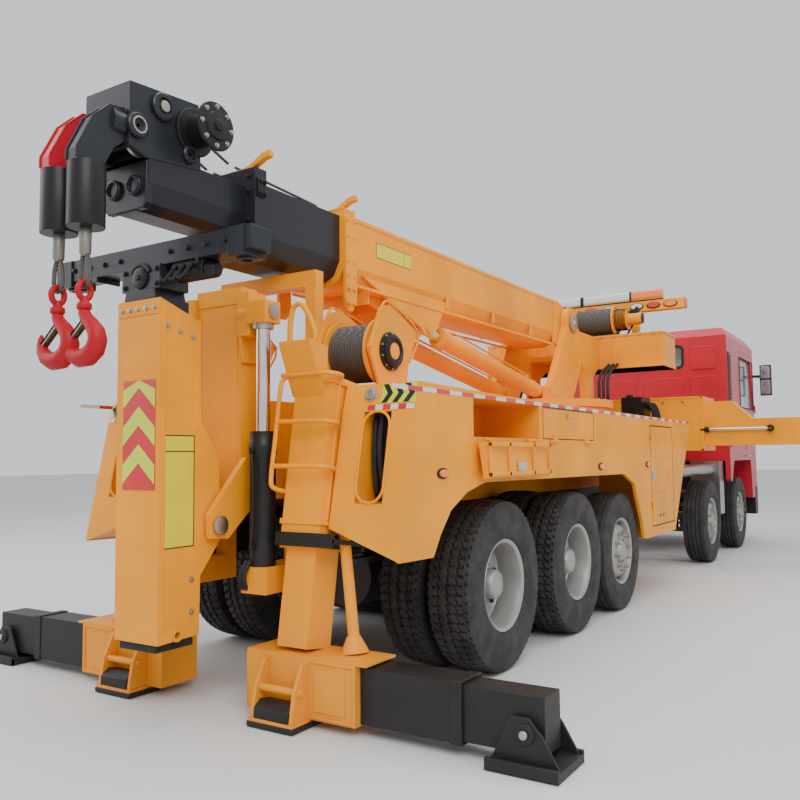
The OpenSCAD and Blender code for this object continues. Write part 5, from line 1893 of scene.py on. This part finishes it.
@dataclass
class LightBars(Assembly):
    """Work lamps on the yellow bar and the beacon bar above it."""

    rear_f: float = 4.86
    lamp_z: float = 3.18

    def build(self) -> None:
        """Builds both bars."""
        rims = Shape()
        lenses = {Finish.CLEAR: (0.69, 0.35), Finish.RUBY: (0.89, 0.12), Finish.AMBER: (1.09,)}
        for finish, places in lenses.items():
            glass = Shape()
            for r in places:
                rims.rear(self.rear_f - 0.012, self.rear_f + 0.002,
                    [(r + x, self.lamp_z + z * 0.48) for x, z in arc((0, 0), 0.083, 0, 345, 23)])
                glass.rear(self.rear_f - 0.02, self.rear_f - 0.008,
                    [(r + x, self.lamp_z + z * 0.46) for x, z in arc((0, 0), 0.07, 0, 345, 23)])
            self.piece(f"bar_lamps_{finish.value.name}", glass.mirrored(), "turret", finish, bevel=0.005)
        self.piece("bar_lamp_rims", rims.mirrored(), "turret", Finish.HOSE, bevel=0.003)
        caps = Shape().side(1.249, 1.262, rounded(4.866, 4.974, 3.126, 3.234, 0.02)).mirrored()
        self.piece("bar_end_lamps", caps, "turret", Finish.RUBY, bevel=0.004)
        amber, clear, black = Shape(), Shape(), Shape()
        dome = rounded(4.872, 4.968, 3.262, 3.378, 0.03)
        amber.side(0.62, 0.994, dome)
        clear.side(0.02, 0.6, dome)
        black.side(0.0, 0.996, rounded(4.868, 4.972, 3.2385, 3.262, 0.006))
        black.side(0.6, 0.62, rounded(4.869, 4.971, 3.25, 3.381, 0.03))
        black.side(0.0, 0.02, rounded(4.869, 4.971, 3.25, 3.381, 0.03))
        self.piece("beacon_domes", amber.mirrored(), "turret", Finish.AMBER, bevel=0.006)
        self.piece("beacon_lenses", clear.mirrored(), "turret", Finish.CLEAR, bevel=0.006)
        self.piece("beacon_frame", black.mirrored(), "turret", Finish.HOSE, bevel=0.003)


@dataclass
class Turret(Assembly):
    """Flanges, bolts and hoses of the slewing turret."""

    def build(self) -> None:
        """Builds the turret's furniture."""
        weight = Shape()
        for z0, z1 in ((2.4, 2.43), (2.77, 2.8)):
            weight.box(-1.106, 1.106, 4.412, 4.968, z0, z1)
        for r in (-1.04, -0.52, 0.0, 0.52, 1.04):
            weight.box(r - 0.012, r + 0.012, 4.412, 4.42, 2.43, 2.77).box(r - 0.012, r + 0.012, 4.96, 4.968,
                2.43, 2.77)
        self.piece("counterweight_flanges", weight, "turret", Finish.YELLOW, bevel=0.003)
        spots = row((-1.0, 4.411, 2.785), (1.0, 4.411, 2.785), 14, BACK) + row((-1.0, 4.969, 2.785),
            (1.0, 4.969, 2.785), 14, AHEAD)
        spots += [((q * 1.107, f, 2.785), (q, 0, 0)) for q in (1, -1) for f in (4.5, 4.69, 4.88)]
        spots += [((x, y, 1.975), UP) for (x, y, _), _ in ring_of((0, 3.52, 1.975), UP, 0.7, 32)]
        self.scattered("turret_bolts", bolt(0.013, 0.012), spots, "turret", Finish.ZINC)
        pivot = Shape().lathe((0.372, 3.54, 2.83), RIGHT,
            ((0, 0), (0.1, 0), (0.1, 0.012), (0.075, 0.02), (0.03, 0.02), (0.025, 0.03), (0, 0.03)), 40)
        self.piece("pivot_caps", pivot.mirrored(), "boom_base", Finish.ZINC)
        hoses = Shape()
        for k in range(3):
            r = 0.47 + 0.05 * k
            path = [(r, 4.05, 1.98), (r + 0.01, 4.02, 2.1), (r - 0.02, 4.12, 2.25), (r - 0.02, 4.25, 2.36),
                (r, 4.38, 2.43), (r, 4.45, 2.46)]
            hoses.hose(path, 0.017)
        self.piece("turret_hoses", hoses.mirrored(), "turret", Finish.HOSE)
        ring = Shape().lathe((0, 3.52, 1.74), UP, ((0.68, 0.0), (0.742, 0.0), (0.742, 0.03), (0.705, 0.04),
            (0.705, 0.15), (0.68, 0.15)), 72)
        self.piece("slew_ring_seat", ring, TRUCK, Finish.YELLOW)


# --- cab and chassis
@dataclass
class CabSide(SideAssembly):
    """One side's panels, door furniture and mirror glass."""

    side_r: float = 1.24

    def build(self) -> None:
        """Builds one side's air strip, panels, door pane, handle and steps."""
        strip = Shape().box(self.side_r - 0.002, self.side_r + 0.008, 7.36, 7.5, 1.5, 2.86)
        for k in range(26):
            z = 1.54 + 0.05 * k
            strip.box(self.side_r + 0.004, self.side_r + 0.016, 7.375, 7.485, z, z + 0.022)
        self.fit("cab_air_strip", strip, TRUCK, Finish.TRIM, bevel=0.002)
        panel = Shape().side(self.side_r - 0.002, self.side_r + 0.006, rounded(7.58, 8.12, 1.55, 2.85, 0.09))
        self.fit("cab_side_panel", panel, TRUCK, Finish.RED, bevel=0.004)
        body = f"cab_door_{self.side}"
        pane = Shape().side(1.204, 1.21, rounded(8.235, 9.415, 2.075, 2.895, 0.04))
        self.fit("door_pane", pane, body, Finish.GLASS)
        rubber = Shape().sweep([(self.side_r, f, z) for f, z in rounded(8.262, 9.388, 2.102, 2.868, 0.03)],
            0.009, 8, loop=True)
        self.fit("door_rubber", rubber, body, Finish.HOSE)
        handle = Shape().side(self.side_r, self.side_r + 0.008, rounded(8.3, 8.52, 1.9, 2.0, 0.03))
        handle.sweep(smoothed([(self.side_r, 8.32, 1.95), (self.side_r + 0.035, 8.345, 1.95),
            (self.side_r + 0.035, 8.475, 1.95), (self.side_r, 8.5, 1.95)], 4), 0.011, 10)
        self.fit("door_handle", handle, body, Finish.TRIM, bevel=0.002)
        press = Shape().side(self.side_r, self.side_r + 0.005, rounded(8.6, 9.36, 1.45, 1.8, 0.06))
        self.fit("door_pressing", press, body, Finish.RED, bevel=0.003)
        glass = Shape()
        for z0, z1 in ((2.37, 2.6), (2.63, 2.83)):
            glass.rear(9.553, 9.562, rounded(1.345, 1.485, z0, z1, 0.02))
        self.fit("mirror_glass", glass, TRUCK, Finish.CHROME, bevel=0.002)


@dataclass
class Cab(Assembly):
    """Panels, windows, mirrors, lamps and grille of the cab."""

    rear_f: float = 7.31

    def rear_wall(self) -> None:
        """Builds the embossed panels, window rubber and roof seam of the rear wall."""
        wall = Shape()
        for r0, r1 in ((-1.1, -0.74), (-0.62, -0.06), (0.06, 0.62), (0.74, 1.1)):
            wall.rear(self.rear_f - 0.012, self.rear_f + 0.002, rounded(r0, r1, 1.95, 2.52, 0.05))
        for r0, r1 in ((-1.1, -0.74), (0.74, 1.1)):
            wall.rear(self.rear_f - 0.012, self.rear_f + 0.002, rounded(r0, r1, 2.62, 2.96, 0.05))
            wall.rear(self.rear_f - 0.012, self.rear_f + 0.002, rounded(r0, r1, 1.5, 1.87, 0.05))
        wall.rear(self.rear_f - 0.012, self.rear_f + 0.002, rounded(-0.62, 0.62, 1.5, 1.87, 0.05))
        self.piece("cab_rear_panels", wall, TRUCK, Finish.RED, bevel=0.006)
        rubber = Shape().sweep([(r, self.rear_f - 0.002, z) for r,
            z in rounded(-0.635, 0.635, 2.665, 2.985, 0.07)], 0.018, 10, loop=True)
        self.piece("rear_window_rubber", rubber, TRUCK, Finish.HOSE)
        pane = Shape().rear(self.rear_f + 0.004, self.rear_f + 0.01, rounded(-0.63, 0.63, 2.67, 2.98, 0.06))
        self.piece("rear_window_pane", pane, TRUCK, Finish.GLASS)

    def face(self) -> None:
        """Builds the grille slats, headlamps, indicators and bumper slot."""
        nose = Datum.extent("cab_shell")[1][1]
        (_, _, low), (b1, bumper, high) = Datum.extent("front_bumper")
        slats = Shape()
        for k in range(6):
            z = 1.42 + k * 0.075
            slats.plan(z, z + 0.036, ((-0.82, nose - 0.06), (0.82, nose - 0.06), (0.8, nose + 0.012),
                (-0.8, nose + 0.012)))
        self.piece("grille_slats", slats, TRUCK, Finish.TRIM, bevel=0.006)
        mid = (low + high) / 2
        rims, lamps = Shape(), Shape()
        for r in (b1 - 0.42, b1 - 0.22):
            rims.lathe((r, bumper - 0.01, mid), AHEAD, ((0, 0), (0.088, 0), (0.088, 0.018), (0.076, 0.024),
                (0, 0.01)), 36)
            lamps.lathe((r, bumper - 0.004, mid), AHEAD, ((0, 0), (0.072, 0), (0.07, 0.014), (0.04, 0.024),
                (0, 0.027)), 36)
        self.piece("headlamp_rims", rims.mirrored(), TRUCK, Finish.TRIM)
        self.piece("headlamps", lamps.mirrored(), TRUCK, Finish.CLEAR)
        turn = Shape().rear(bumper - 0.006, bumper + 0.01,
            rounded(b1 - 0.11, b1 - 0.03, mid - 0.08, mid + 0.08, 0.02)).mirrored()
        self.piece("front_indicators", turn, TRUCK, Finish.AMBER, bevel=0.004)
        slot = Shape().rear(bumper - 0.006, bumper + 0.004, rounded(-0.6, 0.6, mid - 0.07, mid + 0.07, 0.05))
        self.piece("bumper_mesh", slot, TRUCK, Finish.TRIM, bevel=0.002)

    def build(self) -> None:
        """Builds the cab's furniture."""
        self.rear_wall()
        for side, q in SIDES.items():
            CabSide(self.made, side, q).build()
        self.face()


@dataclass
class Midships(Assembly):
    """Front outriggers, deck plating, hydraulic unit and controls."""

    beam_z: Flat = (1.5, 1.825)

    def outrigger(self, side: str, q: int, f: float) -> None:
        """Builds one front outrigger's end flange, jack collar and foot ribs.

        Args:
            side: name of the side.
            q: 1 for right, -1 for left.
            f: rear face of the beam.
        """
        z0, z1 = self.beam_z
        beam = f"front_beam_{side}"
        flange = Shape()
        for a, b, c, d in ((f - 0.006, f + 0.246, z1 - 0.02, z1 + 0.004),
                (f - 0.006, f + 0.246, z0 - 0.004, z0 + 0.02), (f - 0.006, f, z0, z1),
                (f + 0.24, f + 0.246, z0, z1)):
            flange.box(3.21, 3.254, a, b, c, d)
        ring = ((0.092, 0), (0.115, 0), (0.115, 0.06), (0.104, 0.07), (0.092, 0.07))
        flange.lathe((3.11, f + 0.12, z1), UP, ring, 40).lathe((3.11, f + 0.12, z0), DOWN, ring, 40)
        self.piece(f"beam_flanges_{side}", flange.flipped(q), beam, Finish.YELLOW, bevel=0.003)
        jack = f"front_jack_{side}"
        foot = Shape().lathe((3.11, f + 0.12, 0.0), UP,
            ((0.05, 0.058), (0.13, 0.058), (0.1, 0.1), (0.094, 0.17), (0.088, 0.17), (0.05, 0.1)), 40)
        for place, _ in ring_of((3.11, f + 0.12, 0.1), UP, 0.16, 8):
            across = Vector((place[0] - 3.11, place[1] - f - 0.12, 0)).normalized()
            side_way = Vector((-across.y, across.x, 0)) * 0.006
            hub = Vector((3.11, f + 0.12, 0))
            corners = [hub + across * 0.088 + Vector((0, 0, 0.05)),
                hub + across * 0.22 + Vector((0, 0, 0.05)), hub + across * 0.088 + Vector((0, 0, 0.2))]
            foot.prism([tuple(c - side_way) for c in corners], tuple(side_way * 2))
        self.piece(f"jack_foot_ribs_{side}", foot.flipped(q), jack, Finish.BLACK)

    def pull_rod(self) -> None:
        """Builds the bright rod and its eye beside the right front beam."""
        rod = Shape().rod((1.2, 5.715, 1.7), (1.98, 5.715, 1.7), 0.019, 20)
        self.piece("beam_pull_rod", rod, TRUCK, Finish.CHROME)
        eye = Shape().lathe((2.0, 5.698, 1.7), AHEAD, washer(0.018, 0.042, 0.034), 28)
        eye.rod((1.2, 5.715, 1.7), (1.3, 5.715, 1.7), 0.032, 24)
        self.piece("beam_pull_eye", eye, TRUCK, Finish.BLACK)

    def plating(self) -> None:
        """Lays raised tread studs on the walkways along both bodies."""
        stud = Shape().side(-0.0035, 0.0035, ((-0.014, 0.0), (0.014, 0.0), (0.008, 0.003), (-0.008, 0.003)))
        spots = []
        for q in (1, -1):
            for i in range(92):
                for j in range(6):
                    f = -0.9 + 0.062 * i + (0.031 if j % 2 else 0.0)
                    spots.append(((q * (0.83 + 0.07 * j), f, 1.77), UP))
        self.scattered("walkway_studs", stud, spots, TRUCK, Finish.YELLOW)

    def power(self) -> None:
        """Builds the hydraulic unit's lid, gauges and hoses."""
        lid = Shape().plan(2.06, 2.075, rounded(0.515, 0.77, 4.675, 5.065, 0.03))
        lid.lathe((0.6, 4.76, 2.07), UP, ((0, 0), (0.045, 0), (0.045, 0.03), (0.03, 0.04), (0, 0.04)), 28)
        lid.lathe((0.64, 4.679, 1.95), BACK, puck(0.035, 0.02), 24)
        for z in (1.8, 1.86, 1.92, 1.98):
            lid.box(0.766, 0.772, 4.72, 5.02, z, z + 0.025)
        self.piece("power_unit_lid", lid, TRUCK, Finish.BLACK, bevel=0.003)
        hoses = Shape()
        for k in range(4):
            f = 4.74 + 0.08 * k
            path = [(0.765, f, 1.99 - 0.02 * k), (0.82, f, 2.0), (0.86, f + 0.02, 1.93),
                (0.87, f + 0.06, 1.84), (0.87, f + 0.1, 1.775)]
            hoses.hose(path, 0.019)
        for k in range(3):
            r = 0.55 + 0.06 * k
            path = [(r, 4.68, 1.84), (r, 4.6, 1.86), (r - 0.02, 4.5, 1.82), (r - 0.05, 4.42, 1.775),
                (r - 0.06, 4.36, 1.76)]
            hoses.hose(path, 0.017)
        self.piece("power_unit_hoses", hoses, TRUCK, Finish.HOSE)

    def housing(self) -> None:
        """Builds the outrigger housing's edge frames and bolts."""
        frame_bars = Shape()
        for f in (5.686, 6.314):
            for z in (1.44, 2.1):
                frame_bars.box(-1.24, 1.24, f, f + 0.02, z, z + 0.022)
            frame_bars.box(1.2, 1.244, f, f + 0.02, 1.44, 2.12).box(-1.244, -1.2, f, f + 0.02, 1.44, 2.12)
        self.piece("outrigger_housing_frames", frame_bars, TRUCK, Finish.YELLOW, bevel=0.003)
        spots = row((-1.0, 5.686, 2.06), (1.0, 5.686, 2.06), 9, BACK)
        self.scattered("outrigger_housing_bolts", bolt(0.014, 0.012), spots, TRUCK, Finish.ZINC)

    def build(self) -> None:
        """Builds everything between cab and turret."""
        for (side, q), f in zip(SIDES.items(), (5.75, 6.03)):
            self.outrigger(side, q, f)
        self.pull_rod()
        self.plating()
        self.power()
        self.housing()


def setting() -> None:
    """Lays the floor and sets the soft studio lights, the sky and the camera."""
    floor_mesh = bpy.data.meshes.new("floor")
    size = 70.0
    floor_mesh.from_pydata([(-size, -size, -0.004), (size, -size, -0.004), (size, size, -0.004),
        (-size, size, -0.004)], [], [(0, 1, 2, 3)])
    floor = bpy.data.objects.new("floor", floor_mesh)
    link_in(floor)
    nodes = NodeTree("studio_floor")
    nodes.feed(nodes.mix(nodes.noise(0.4), (0.6, 0.6, 0.59), (0.66, 0.66, 0.65)), "Base Color")
    nodes.set(Roughness=0.8)
    floor_mesh.materials.append(nodes.material)
    world = bpy.data.worlds.new("studio")
    world.use_nodes = True
    world.node_tree.nodes["Background"].inputs["Color"].default_value = (0.9, 0.92, 0.95, 1.0)
    world.node_tree.nodes["Background"].inputs["Strength"].default_value = 1.0
    bpy.context.scene.world = world
    for name, place, aim, size, power in (
        ("key", (-9.0, 13.0, 11.0), (0.0, 3.0, 1.5), 9.0, 1500.0),
        ("fill", (10.0, 9.0, 7.0), (0.0, 2.0, 1.5), 9.0, 500.0),
        ("top", (-1.0, 1.0, 13.0), (0.0, 0.5, 1.0), 12.0, 1100.0),
    ):
        light = bpy.data.lights.new(name, "AREA")
        light.energy, light.size = power, size
        lamp = bpy.data.objects.new(name, light)
        lamp.location = place
        lamp.rotation_euler = (Vector(aim) - Vector(place)).to_track_quat("-Z", "Y").to_euler()
        link_in(lamp)
    view = bpy.data.cameras.new("camera")
    view.lens, view.sensor_width = 36.6, 36.0
    view.clip_end = 300.0
    camera = bpy.data.objects.new("camera", view)
    camera.location = (-3.49, 8.52, 1.391)
    pitch = math.radians(4.04)
    ahead = Vector((0.5366 * math.cos(pitch), -0.8438 * math.cos(pitch), math.sin(pitch)))
    turn = ahead.to_track_quat("-Z", "Y") @ Quaternion((0, 0, 1), math.radians(-0.56))
    camera.rotation_euler = turn.to_euler()
    link_in(camera)
    bpy.context.scene.camera = camera


def main() -> None:
    """Builds the truck's looks, part by part."""
    logging.basicConfig(level=logging.INFO, format="%(message)s")
    setting()
    PaintShop().dress()
    made: list[str] = []
    sides = [(made, side, q) for side, q in SIDES.items()]
    assemblies = [WheelSet(made), *(kind(*at) for kind in (BodySide, RearCorner, SwingHead) for at in sides)]
    assemblies += [BoomHead(made), Underlift(made), *(LegTower(*at) for at in sides), BoomTube(made),
        Winches(made)]
    for assembly in (*assemblies, LightBars(made), Turret(made), Cab(made), Midships(made)):
        assembly.build()
    LOG.info("%d pieces", len(made))


if __name__ == "__main__":
    main()
